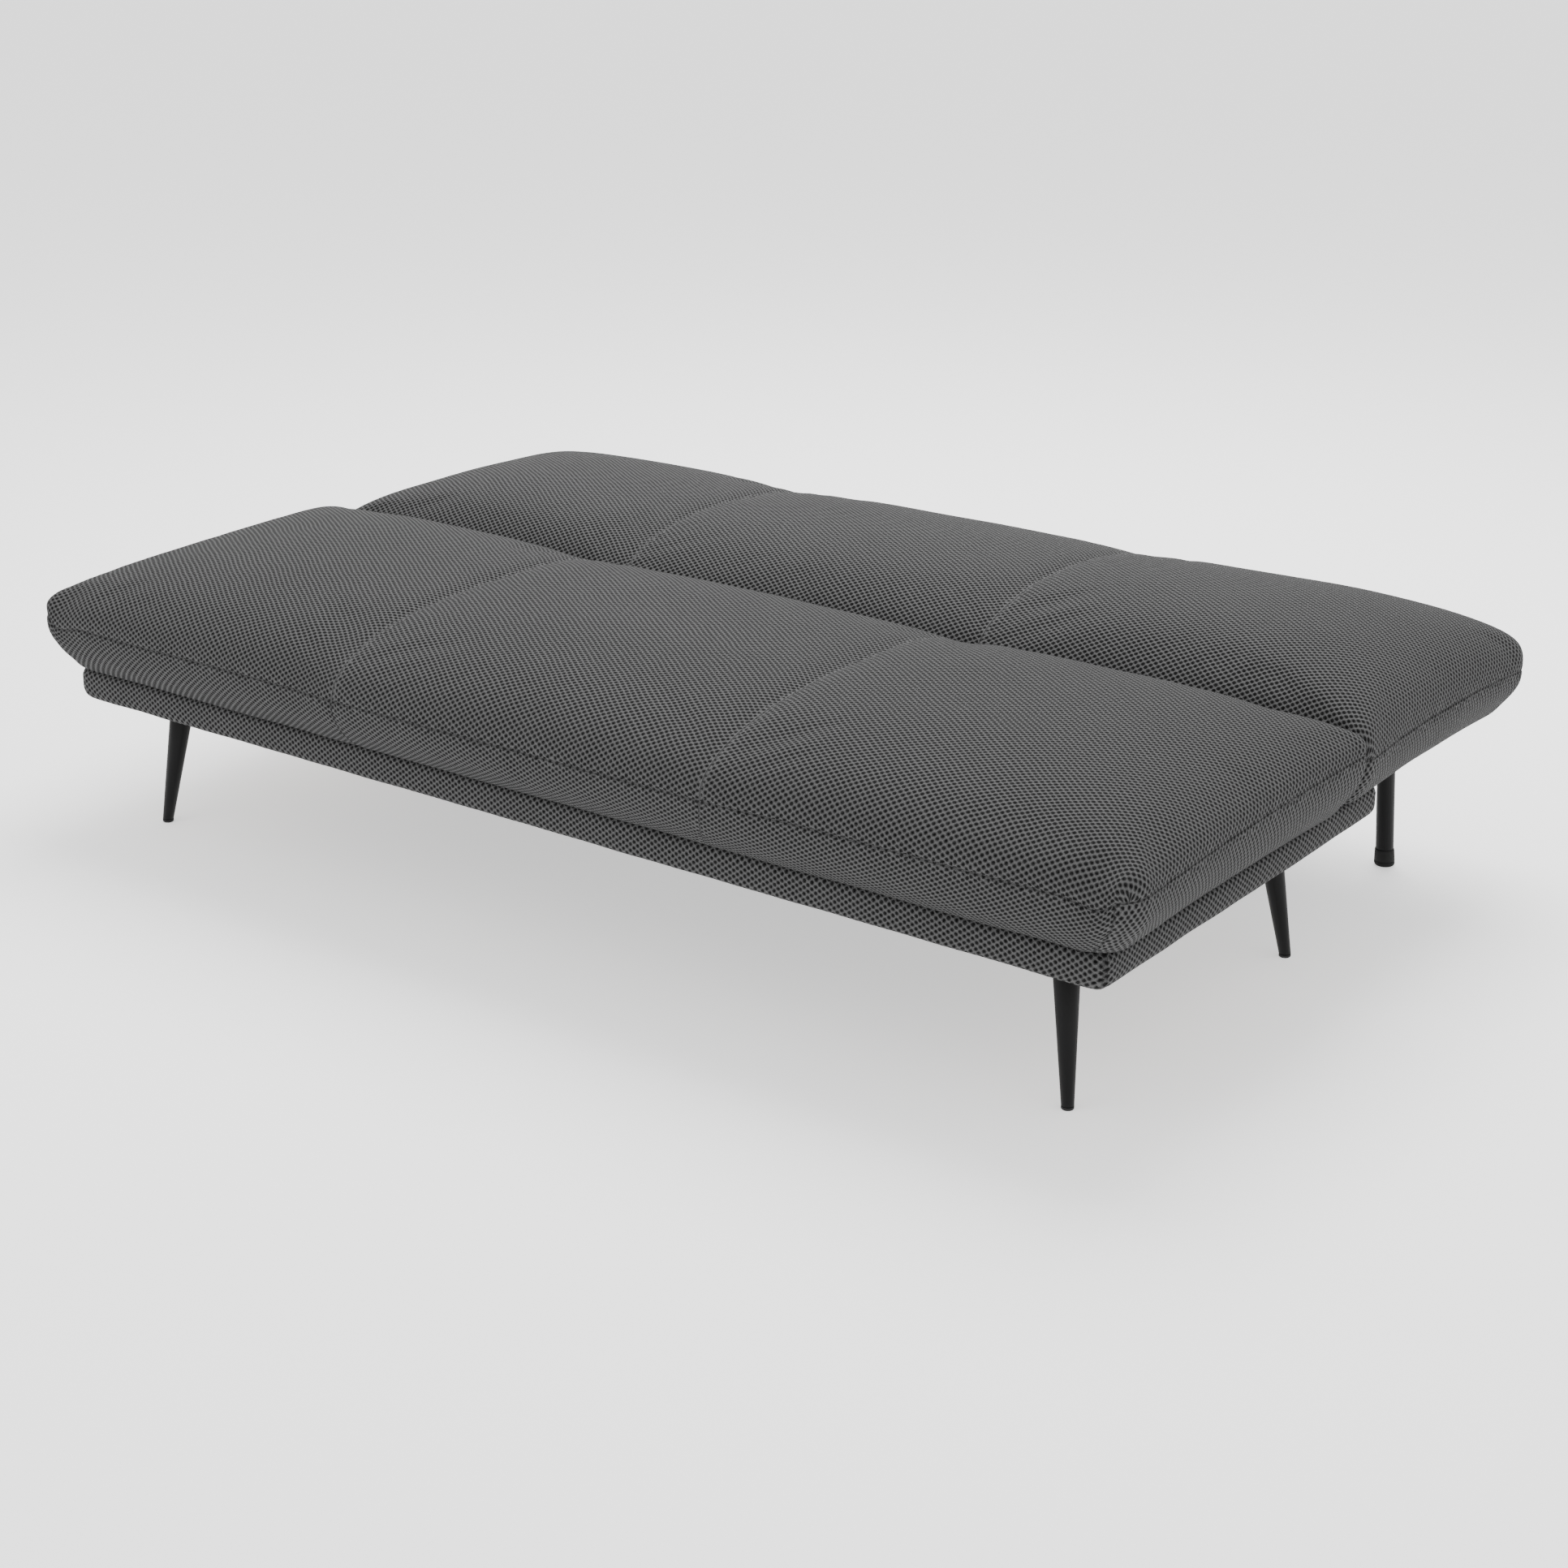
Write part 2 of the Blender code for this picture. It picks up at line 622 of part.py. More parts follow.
def hinge_rivet(label, side):
    """The hinge's pin, through both arms and the ratchet."""
    inner = SEAT_ARM_X[0] - CLEAR
    outer = RATCHET_X[1] + CLEAR
    profile = rivet_profile(HINGE_PIN_RADIUS, outer - inner, HINGE_RIVET_HEAD)
    pin = turned(f"hinge_pin_{label}", profile, (side * inner, HINGE_Y, HINGE_Z), ZINC_STEEL)
    pin.rotation_euler = (0.0, side * math.pi / 2, 0.0)


# ---------------------------------------------------------------- back section
def back_frame(pivot):
    inner_end = SEAT_ARM_X[0] - CLEAR
    low_z, high_z = BACK_RAIL_Z
    inner_y, outer_y = BACK_INNER_RAIL_Y, BACK_OUTER_RAIL_Y
    timber("back_inner_rail", (-inner_end, inner_y[0], low_z), (inner_end, inner_y[1], high_z), pivot)
    timber(
        "back_outer_rail", (-BACK_PANEL_HALF, outer_y[0], low_z), (BACK_PANEL_HALF, outer_y[1], high_z),
        pivot,
    )
    for label, side in SIDES:
        rail = mirrored_box(side, BACK_SIDE_RAIL_X, (inner_y[0], outer_y[0] - CLEAR), BACK_RAIL_Z)
        timber(f"back_{label}_rail", *rail, pivot)
    panel_z = high_z + CLEAR
    box(
        "back_panel", (-BACK_PANEL_HALF, inner_y[0], panel_z),
        (BACK_PANEL_HALF, outer_y[1], panel_z + BACK_PANEL_THICK), WOOD, pivot,
    )
    lining_half = BACK_PANEL_HALF + 0.012
    box(
        "back_lining", (-lining_half, inner_y[0] - 0.004, LINING_Z[0]),
        (lining_half, outer_y[1] + 0.004, LINING_Z[1]), LINING_FABRIC, pivot,
    )


# ---------------------------------------------------------------- support legs
def support_pivot_y():
    return SUPPORT_FOOT_Y - SUPPORT_PIVOT_Z * math.tan(SUPPORT_LEAN)


def support_bracket(label, side, back_pivot):
    """A clevis under the back section: a top plate and two cheeks with a hole for the pin."""
    centre = Vector((side * SUPPORT_X, support_pivot_y(), SUPPORT_PIVOT_Z))
    half_gap = SUPPORT_RADIUS + BRACKET_PLAY
    top_z = LINING_Z[0] - CLEAR
    outside = half_gap + BRACKET_WALL
    bracket = box(
        f"support_bracket_{label}",
        (centre.x - outside, centre.y + BRACKET_Y[0], centre.z - BRACKET_DROP),
        (centre.x + outside, centre.y + BRACKET_Y[1], top_z),
        BLACK_METAL,
        back_pivot,
    )
    channel = cuboid(
        (centre.x - half_gap, centre.y + 2 * BRACKET_Y[0], centre.z - 2 * BRACKET_DROP),
        (centre.x + half_gap, centre.y + 2 * BRACKET_Y[1], top_z - BRACKET_WALL),
    )
    bore = cylinder(centre, SUPPORT_PIN_RADIUS + PIN_CLEARANCE, 2 * outside + 0.010, sides=20)
    cut_away(bracket, [add_cutter(f"channel_{label}", channel), add_cutter(f"cheek_bore_{label}", bore)])

    length = 2 * (outside + CLEAR)
    profile = rivet_profile(SUPPORT_PIN_RADIUS, length, SUPPORT_RIVET_HEAD)
    start = (centre.x - length / 2, centre.y, centre.z)
    pin = turned(f"support_pin_{label}", profile, start, ZINC_STEEL, steps=20)
    pin.rotation_euler = (0.0, math.pi / 2, 0.0)
    attach(pin, back_pivot)


def support_leg(label, side, back_pivot):
    """The folding leg: a straight tube that turns on the bracket's pin, with a rubber cap."""
    centre = Vector((side * SUPPORT_X, support_pivot_y(), SUPPORT_PIVOT_Z))
    pivot = add_pivot(f"support_{label}_axis", centre)
    attach(pivot, back_pivot)
    slope = -math.tan(SUPPORT_LEAN)
    top_z = SUPPORT_PIVOT_Z + SUPPORT_STUB
    tube = upright_cone(CAP_FLOOR + CLEAR, top_z, SUPPORT_RADIUS, SUPPORT_RADIUS)
    lean(tube, centre.x, SUPPORT_FOOT_Y, 0.0, slope)
    leg = add_mesh(f"support_leg_{label}", tube, BLACK_METAL, pivot, smooth=True)
    bore = cylinder(centre, SUPPORT_PIN_RADIUS + PIN_CLEARANCE, 4 * SUPPORT_RADIUS, sides=20)
    cut_away(leg, [add_cutter(f"leg_bore_{label}", bore)])

    cap = upright_cone(0.0, SUPPORT_CAP_HEIGHT, SUPPORT_CAP_RADIUS, SUPPORT_CAP_RADIUS)
    lean(cap, centre.x, SUPPORT_FOOT_Y, 0.0, slope)
    socket_radius = SUPPORT_RADIUS + CLEAR
    socket = upright_cone(CAP_FLOOR, 2 * SUPPORT_CAP_HEIGHT, socket_radius, socket_radius)
    lean(socket, centre.x, SUPPORT_FOOT_Y, 0.0, slope)
    foot = add_mesh(f"support_cap_{label}", cap, BLACK_RUBBER, pivot, smooth=True)
    cut_away(foot, [add_cutter(f"socket_{label}", socket)])


def main():
    cutters = slot_cutters()
    base_cover()
    bearers = plinth_rails()
    seat_slats()
    cover_and_foam("seat", seat_form, SEAT_BOTTOM_Z + CLEAR, cutters)
    for row, foot_y in (("front", FRONT_FOOT_Y), ("rear", REAR_FOOT_Y)):
        for label, side in SIDES:
            tapered_leg(f"{row}_{label}", side * FOOT_X, foot_y, bearers[label])

    back_pivot = add_pivot("back_fold_axis", (0.0, HINGE_Y, HINGE_Z))
    back_frame(back_pivot)
    foam_bottom = BACK_RAIL_Z[1] + BACK_PANEL_THICK + 2 * CLEAR
    cover_and_foam("back", back_form, foam_bottom, cutters, back_pivot)
    for label, side in SIDES:
        hinge(label, side, back_pivot)
        support_bracket(label, side, back_pivot)
        support_leg(label, side, back_pivot)


main()
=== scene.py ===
"""The looks of the click-clack sofa bed: its upholstery, metal, rubber and wood, on a pale studio floor.

Everything is in metres in the part's own frame: +X along the width, +Y from the seat to the back section,
+Z up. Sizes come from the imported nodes; the upholstery then rounds, swells and sews what they only block out.
"""

import math

from dataclasses import dataclass

import bpy
import numpy as np
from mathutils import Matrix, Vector, noise


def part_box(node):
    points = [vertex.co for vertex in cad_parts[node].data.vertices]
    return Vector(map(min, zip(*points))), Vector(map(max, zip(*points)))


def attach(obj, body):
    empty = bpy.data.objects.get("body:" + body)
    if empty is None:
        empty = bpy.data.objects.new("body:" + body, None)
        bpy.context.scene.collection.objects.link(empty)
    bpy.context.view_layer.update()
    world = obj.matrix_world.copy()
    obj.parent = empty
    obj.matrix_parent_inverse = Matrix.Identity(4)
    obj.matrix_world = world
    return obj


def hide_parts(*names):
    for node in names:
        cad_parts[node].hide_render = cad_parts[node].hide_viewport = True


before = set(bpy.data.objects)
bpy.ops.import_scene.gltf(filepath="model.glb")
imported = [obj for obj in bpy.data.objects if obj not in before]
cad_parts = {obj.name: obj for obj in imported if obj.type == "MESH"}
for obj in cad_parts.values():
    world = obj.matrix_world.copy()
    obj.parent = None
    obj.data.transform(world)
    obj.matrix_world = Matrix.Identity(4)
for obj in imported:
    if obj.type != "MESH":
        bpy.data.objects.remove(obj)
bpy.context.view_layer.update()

# ---------------------------------------------------------------- the upholstery's dimensions
SEGMENT_HALF = 0.305           # the sewn lines are at +- this
CORNER_SEAM_INSET = 0.028      # a cushion's upright seams, in from its ends
SEAM_GROOVE = 0.0004           # depth of a stitched seam
SEAM_WIDTH = 0.0026
WELT_HEIGHT = 0.0003           # the boxing's folded edge, just below its seam
WELT_DEPTH = 0.0040
VALLEY_DEPTH = 0.0030          # the wider dip along a sewn line
VALLEY_WIDTH = 0.016
PUFF = 0.003                   # how far a segment stands above its sewn lines
END_PULL = 0.008               # how far a cushion's ends pull in between their corners
DIP_START = 0.020              # the front seam's dip beside a corner: how far from the end it begins,
DIP_SPAN = 0.090               # how far along it is deepest and over,
DIP_REACH = 0.035              # and how far back over the top it fades
HEM = (0.010, 0.026)           # the turned-in hem's two rings, in from the boxing's foot
HEM_DROP = 0.0004              # how far the hem lies below the boxing's foot
PANEL_SHIFT = 0.0037           # each boxing panel's fabric is cut this much further along the weave
END_PANEL = 6                  # boxing panels from this number on are at the ends, cut across the fabric
PUCKER = 0.0011                # height of the puckers along a seam
PUCKER_REACH = 0.018           # how far they run out into the panels
PUCKER_SCALE = 55.0
UNEVENNESS = 0.0012            # broad waves in the padding
UNEVENNESS_SCALE = 9.0
HINGE_REACH = 0.020            # how far a cushion's side gives way beside a hinge
HINGE_MARGIN = 0.004           # its clearance at the hinge's sides
HINGE_CLEARANCE = 0.003        # and at the ratchet's rim
HINGE_TOP_MARGIN = 0.018       # above the arms the side closes again,
HINGE_TOP_FADE = 0.020         # over this height
CLOTH_FRAMES = 14
CLOTH_CAP = 0.0045             # the furthest that the cloth simulation may move a point
CLOTH_HELD_HEIGHT = 0.012      # it holds the cover up to this height above the bottom,
CLOTH_HELD_REACH = 0.0005      # and this near to a sewn line


# ---------------------------------------------------------------- mesh helpers
def mesh_object(name, points, faces, body):
    mesh = bpy.data.meshes.new(name)
    mesh.from_pydata([tuple(p) for p in points], [], faces)
    mesh.validate()
    obj = bpy.data.objects.new(name, mesh)
    bpy.context.scene.collection.objects.link(obj)
    mesh.shade_smooth()
    obj["rides"] = body
    return obj


def apply_modifiers(obj):
    """Bakes an object's modifiers into its mesh."""
    graph = bpy.context.evaluated_depsgraph_get()
    graph.update()
    baked = bpy.data.meshes.new_from_object(obj.evaluated_get(graph))
    old = obj.data
    obj.modifiers.clear()
    obj.data = baked
    baked.name = obj.name
    bpy.data.meshes.remove(old)


def get_points(obj):
    co = np.empty(len(obj.data.vertices) * 3)
    obj.data.vertices.foreach_get("co", co)
    return co.reshape(-1, 3)


def set_points(obj, points):
    obj.data.vertices.foreach_set("co", points.ravel())
    obj.data.update()


def get_normals(obj):
    normals = np.empty(len(obj.data.vertices) * 3)
    obj.data.vertices.foreach_get("normal", normals)
    return normals.reshape(-1, 3)


def add_float(obj, name, values):
    attribute = obj.data.attributes.new(name, "FLOAT", "POINT")
    attribute.data.foreach_set("value", np.asarray(values, np.float32))


def get_float(obj, name):
    values = np.empty(len(obj.data.vertices), np.float32)
    obj.data.attributes[name].data.foreach_get("value", values)
    return values.astype(float)


def thicken(obj, amount, offset):
    """Gives a one-sided sheet its thickness: -1 puts it inside, and 0 puts half on each side."""
    thickness = obj.modifiers.new("thickness", "SOLIDIFY")
    thickness.thickness = amount
    thickness.offset = offset
    apply_modifiers(obj)
    obj.data.shade_smooth()


def distance_round(ring):
    """Distance along a closed ring of points, from its first point back to it."""
    closed = np.vstack([ring, ring[:1]])
    return np.concatenate([[0.0], np.cumsum(np.linalg.norm(np.diff(closed, axis=0), axis=1))])


def distance_to(marks, around):
    """Each ring point's distance along the ring to the nearest marked point."""
    gap = np.full(len(around) - 1, around[-1])
    for mark in marks:
        off = np.abs(around[:-1] - around[mark])
        gap = np.minimum(gap, np.minimum(off, around[-1] - off))
    return gap


def noise_at(points, scale):
    """Blender's own noise, which is the same each run, at each point."""
    return np.array([noise.noise(Vector(p) * scale) for p in points])


def finish_piece(obj, material, *nodes):
    """Gives a piece its material, and makes it stand for its CAD nodes on their body."""
    obj.data.materials.clear()
    obj.data.materials.append(material)
    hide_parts(*nodes)
    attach(obj, obj["rides"])


# ---------------------------------------------------------------- node helpers
class Shading:
    """A small wrapper for writing a material's nodes as expressions."""

    def __init__(self, name):
        self.material = bpy.data.materials.new(name)
        self.material.use_nodes = True
        self.tree = self.material.node_tree
        self.shader = self.tree.nodes["Principled BSDF"]

    def node(self, kind, **settings):
        made = self.tree.nodes.new(kind)
        for key, value in settings.items():
            setattr(made, key, value)
        return made

    def feed(self, socket, value):
        if isinstance(value, bpy.types.NodeSocket):
            self.tree.links.new(value, socket)
        elif value is not None:
            socket.default_value = value

    def math(self, operation, a, b=None, c=None, clamp=False):
        made = self.node("ShaderNodeMath", operation=operation, use_clamp=clamp)
        for socket, value in zip(made.inputs, (a, b, c)):
            self.feed(socket, value)
        return made.outputs[0]

    def smooth(self, value, low, high):
        """0 below low and 1 above high, with a soft step between."""
        made = self.node("ShaderNodeMapRange", interpolation_type="SMOOTHSTEP")
        self.feed(made.inputs["Value"], value)
        made.inputs["From Min"].default_value = low
        made.inputs["From Max"].default_value = high
        return made.outputs["Result"]

    def mix(self, share, a, b):
        made = self.node("ShaderNodeMix", data_type="RGBA")
        self.feed(made.inputs["Factor"], share)
        for socket, value in zip((made.inputs[6], made.inputs[7]), (a, b)):
            self.feed(socket, (*value, 1.0) if isinstance(value, tuple) else value)
        return made.outputs[2]

    def noise(self, vector, scale, detail=2.0, roughness=0.5):
        made = self.node("ShaderNodeTexNoise")
        self.feed(made.inputs["Vector"], vector)
        made.inputs["Scale"].default_value = scale
        made.inputs["Detail"].default_value = detail
        made.inputs["Roughness"].default_value = roughness
        return made.outputs["Fac"]

    def position(self):
        return self.node("ShaderNodeTexCoord").outputs["Object"]

    def bump(self, height, distance, strength=1.0, normal=None):
        made = self.node("ShaderNodeBump")
        self.feed(made.inputs["Height"], height)
        made.inputs["Distance"].default_value = distance
        made.inputs["Strength"].default_value = strength
        self.feed(made.inputs["Normal"], normal)
        return made.outputs["Normal"]

    def surface(self, color=None, roughness=None, normal=None, **constants):
        if isinstance(color, tuple):
            color = (*color, 1.0)
        self.feed(self.shader.inputs["Base Color"], color)
        self.feed(self.shader.inputs["Roughness"], roughness)
        self.feed(self.shader.inputs["Normal"], normal)
        for name, value in constants.items():
            self.shader.inputs[name.replace("_", " ")].default_value = value
        return self.material


# ---------------------------------------------------------------- materials
def mesh_fabric():
    """Grey knitted spacer fabric: staggered holes in a net of raised yarn, drawn together at the sewn lines.

    UVs are metres on the flat fabric, so the pitches and the holes' half widths are too.
    """
    pitch_x, pitch_y = 0.0110, 0.0080
    hole_x, hole_y = 0.0025, 0.0022
    s = Shading("mesh_fabric")
    uv = s.node("ShaderNodeUVMap", uv_map="fabric").outputs["UV"]
    split = s.node("ShaderNodeSeparateXYZ")
    s.feed(split.inputs[0], uv)
    across, along = split.outputs[0], split.outputs[1]
    seam = s.node("ShaderNodeAttribute", attribute_name="seam").outputs["Fac"]
    tuck = s.node("ShaderNodeAttribute", attribute_name="tuck").outputs["Fac"]
    near_seam = s.smooth(seam, 0.014, 0.002)

    drift = s.noise(uv, 9.0, 3.0)
    wobble = s.noise(uv, 160.0, 2.0)
    shift = s.math("MULTIPLY_ADD", drift, 0.006, -0.003)
    tug = s.math("MULTIPLY", near_seam, s.math("MULTIPLY_ADD", wobble, 0.0060, -0.0030))
    across = s.math("ADD", s.math("ADD", across, shift), tug)
    along = s.math("ADD", s.math("ADD", along, shift), tug)

    def fold(value, pitch):
        """Distance to the nearest multiple of the pitch, as a share of the pitch."""
        turned = s.math("WRAP", s.math("DIVIDE", value, pitch), 0.5, -0.5)
        return s.math("ABSOLUTE", turned)

    def oval(dx, dy):
        """Distance from a hole's centre, 1 at its rim."""
        ex = s.math("MULTIPLY", dx, pitch_x / hole_x)
        ey = s.math("MULTIPLY", dy, pitch_y / hole_y)
        return s.math("SQRT", s.math("ADD", s.math("MULTIPLY", ex, ex), s.math("MULTIPLY", ey, ey)))

    dx, dy = fold(across, pitch_x), fold(along, pitch_y)
    first = oval(dx, dy)
    second = oval(s.math("SUBTRACT", 0.5, dx), s.math("SUBTRACT", 0.5, dy))
    ragged = s.math("MULTIPLY_ADD", s.noise(uv, 330.0, 2.0), 0.40, -0.20)
    rim = s.math("ADD", s.math("MINIMUM", first, second), ragged)
    # along a sewn line the net is drawn together, so its holes narrow
    rim = s.math("ADD", rim, s.math("MULTIPLY", s.smooth(tuck, 0.0050, 0.0010), 0.40))
    solid = s.smooth(rim, 0.62, 1.08)

    yarn = s.noise(uv, 1400.0, 2.0, 0.6)
    cloudy = s.noise(s.position(), 5.0, 3.0)
    tone = s.math("ADD", s.math("MULTIPLY", yarn, 0.45), s.math("MULTIPLY", cloudy, 0.55))
    strand = s.mix(tone, (0.052, 0.052, 0.0525), (0.080, 0.080, 0.0805))
    # painted highlight: each strand is lighter along its crest, away from the holes, where light would catch
    # the raised yarn
    crest_highlight = s.smooth(rim, 0.95, 1.45)
    strand = s.mix(s.math("MULTIPLY", crest_highlight, 0.40), strand, (0.118, 0.118, 0.1185))
    # painted shade: the holes are nearly black, with the spacer fabric's inner layer showing dimly through in
    # patches
    inner = s.smooth(s.noise(uv, 420.0, 1.0), 0.42, 0.66)
    hole_shade = s.mix(s.math("MULTIPLY", inner, 0.8), (0.0008, 0.0008, 0.0009), (0.014, 0.014, 0.0142))
    color = s.mix(solid, hole_shade, strand)
    ragged_seam = s.math("ADD", seam, s.math("MULTIPLY_ADD", wobble, 0.0012, -0.0006))
    stitched = s.smooth(ragged_seam, 0.0013, 0.0004)
    color = s.mix(s.math("MULTIPLY", stitched, 0.35), color, (0.010, 0.010, 0.0102))

    height = s.math("ADD", s.smooth(rim, 0.55, 1.55), s.math("MULTIPLY", yarn, 0.10))
    height = s.math("SUBTRACT", height, s.math("MULTIPLY", stitched, 0.6))
    normal = s.bump(height, 0.0028, 1.0)
    return s.surface(color, 0.9, normal, Sheen_Weight=0.04, Sheen_Roughness=0.5, Specular_IOR_Level=0.08)


def lining_fabric():
    """Thin black non-woven lining with a point-bonded surface."""
    s = Shading("lining_fabric")
    place = s.position()
    dots = s.node("ShaderNodeTexVoronoi", feature="F1")
    s.feed(dots.inputs["Vector"], place)
    dots.inputs["Scale"].default_value = 520.0
    fibres = s.noise(place, 900.0, 3.0, 0.7)
    cloudy = s.noise(place, 14.0, 2.0)
    color = s.mix(s.math("MULTIPLY", fibres, cloudy), (0.007, 0.007, 0.0075), (0.024, 0.024, 0.025))
    height = s.math("ADD", s.math("MULTIPLY", dots.outputs["Distance"], 0.6), s.math("MULTIPLY", fibres, 0.4))
    return s.surface(color, 0.92, s.bump(height, 0.0004, 0.6))


def powder_coat():
    """Satin black powder coat: a fine orange peel, and a little wear in its sheen."""
    s = Shading("black_powder_coat")
    place = s.position()
    peel = s.noise(place, 900.0, 2.0)
    wear = s.noise(place, 22.0, 4.0)
    color = s.mix(wear, (0.0030, 0.0030, 0.0032), (0.0056, 0.0056, 0.0059))
    roughness = s.math("MULTIPLY_ADD", wear, 0.16, 0.38)
    return s.surface(color, roughness, s.bump(peel, 0.00010, 0.5), Specular_IOR_Level=0.13)


def zinc_plate(name, dark, light):
    """Plated steel: a faint spangle in its tone and sheen, and fine scratches."""
    s = Shading(name)
    place = s.position()
    spangle = s.noise(place, 120.0, 3.0)
    scratches = s.noise(place, 1600.0, 2.0)
    color = s.mix(spangle, dark, light)
    roughness = s.math("MULTIPLY_ADD", spangle, 0.22, 0.32)
    return s.surface(color, roughness, s.bump(scratches, 0.00006, 0.4), Metallic=1.0)


def rubber():
    """Dull black rubber with a fine grain, and dust in its tone."""
    s = Shading("black_rubber")
    place = s.position()
    grain = s.noise(place, 700.0, 3.0)
    dust = s.noise(place, 60.0, 4.0)
    color = s.mix(dust, (0.0060, 0.0060, 0.0060), (0.0125, 0.0125, 0.0120))
    roughness = s.math("MULTIPLY_ADD", dust, 0.18, 0.60)
    return s.surface(color, roughness, s.bump(grain, 0.00015, 0.5), Specular_IOR_Level=0.15)


def moulded_plastic():
    """Black moulded plastic with a fine spark-eroded grain."""
    s = Shading("black_plastic")
    place = s.position()
    grain = s.noise(place, 1200.0, 2.0)
    cloudy = s.noise(place, 40.0, 2.0)
    color = s.mix(cloudy, (0.008, 0.008, 0.0085), (0.014, 0.014, 0.0145))
    return s.surface(color, 0.50, s.bump(grain, 0.00010, 0.4), Specular_IOR_Level=0.25)


def timber(name, dark, light, grain_axis):
    """Wood whose grain runs along one axis, with growth rings and fine pores."""
    s = Shading(name)
    stretch = [34.0, 34.0, 34.0]
    stretch[grain_axis] = 1.6
    mapped = s.node("ShaderNodeMapping")
    s.feed(mapped.inputs["Vector"], s.position())
    mapped.inputs["Scale"].default_value = stretch
    grain = mapped.outputs["Vector"]
    rings = s.noise(grain, 2.4, 4.0, 0.6)
    pores = s.noise(grain, 26.0, 3.0, 0.7)
    tone = s.math("ADD", s.math("MULTIPLY", rings, 0.75), s.math("MULTIPLY", pores, 0.25))
    color = s.mix(s.smooth(tone, 0.32, 0.68), dark, light)
    return s.surface(color, s.math("MULTIPLY_ADD", pores, 0.15, 0.50), s.bump(pores, 0.0003, 0.4))


def studio_floor():
    """Pale paper, which glows a little so that it stays pale under the bed."""
    s = Shading("studio_floor")
    return s.surface((0.92, 0.92, 0.92), 0.8, Specular_IOR_Level=0.1,
                     Emission_Color=(1.0, 1.0, 1.0, 1.0), Emission_Strength=0.75)


MESH_FABRIC = mesh_fabric()
LINING = lining_fabric()
BLACK_METAL = powder_coat()
ZINC = zinc_plate("zinc_plate", (0.24, 0.245, 0.255), (0.38, 0.385, 0.40))
BLACK_ZINC = zinc_plate("black_zinc_plate", (0.030, 0.030, 0.032), (0.055, 0.056, 0.060))
RUBBER = rubber()
PLASTIC = moulded_plastic()
RAIL_WOOD_X = timber("softwood_along_x", (0.33, 0.205, 0.10), (0.60, 0.43, 0.25), 0)
RAIL_WOOD_Y = timber("softwood_along_y", (0.33, 0.205, 0.10), (0.60, 0.43, 0.25), 1)
SLAT_WOOD = timber("birch_slats", (0.50, 0.36, 0.20), (0.74, 0.59, 0.39), 1)
PANEL_WOOD = timber("plywood", (0.36, 0.24, 0.13), (0.58, 0.42, 0.25), 0)


# ---------------------------------------------------------------- cushions
def roll(distance, radius, power):
    """A rounded edge: 0 at the edge, rising to 1 at the roll's full radius."""
    inner = np.clip(1.0 - distance / radius, 0.0, 1.0)
    return (1.0 - inner**power) ** (1.0 / power)


def joined_rolls(across, along):
    """Two edge rolls met at a full corner: each holds where the other is 1."""
    small = 1e-4
    return ((across + small) ** -2 + (along + small) ** -2 - 1.0) ** -0.5


def closing_shares(count):
    """Shares from 0 to 1 that lie closer together towards 1."""
    return np.sin(np.linspace(0.0, math.pi / 2, count + 1))


@dataclass
class Form:
    """A cushion's shape, in metres. A roll's power is 2 for an ellipse, and more for a boxier edge."""
    base_z: float            # the base of the crown, at the front
    base_tilt: float         # how much higher that base is at the right end than in the middle
    droop: float             # how much lower it is at the rear
    front_lift: float        # the panel's seam above that base, at the front
    rear_lift: float         # and at the rear
    end_lift: float          # and more at the ends
    end_arch: float          # and more still halfway along the ends
    rise: float              # from the base to the crown
    rise_tilt: float         # how much higher the crown is at the right end than in the middle
    front_roll: float        # how far in from the edge the crown reaches its full height
    front_power: float
    rear_roll: float
    rear_power: float
    front_corner: float      # the corners' radius in plan
    rear_corner: float
    end_roll: float
    left_power: float
    right_power: float
    taper_end: float         # how far the boxing's foot is set in from its seam
    taper_front: float
    taper_rear: float
    taper_power: float
    waist: float             # the boxing's swell
    front_dip: float         # the seam's dip beside the front corners
    sag: float               # how far the cover hangs below its CAD solid


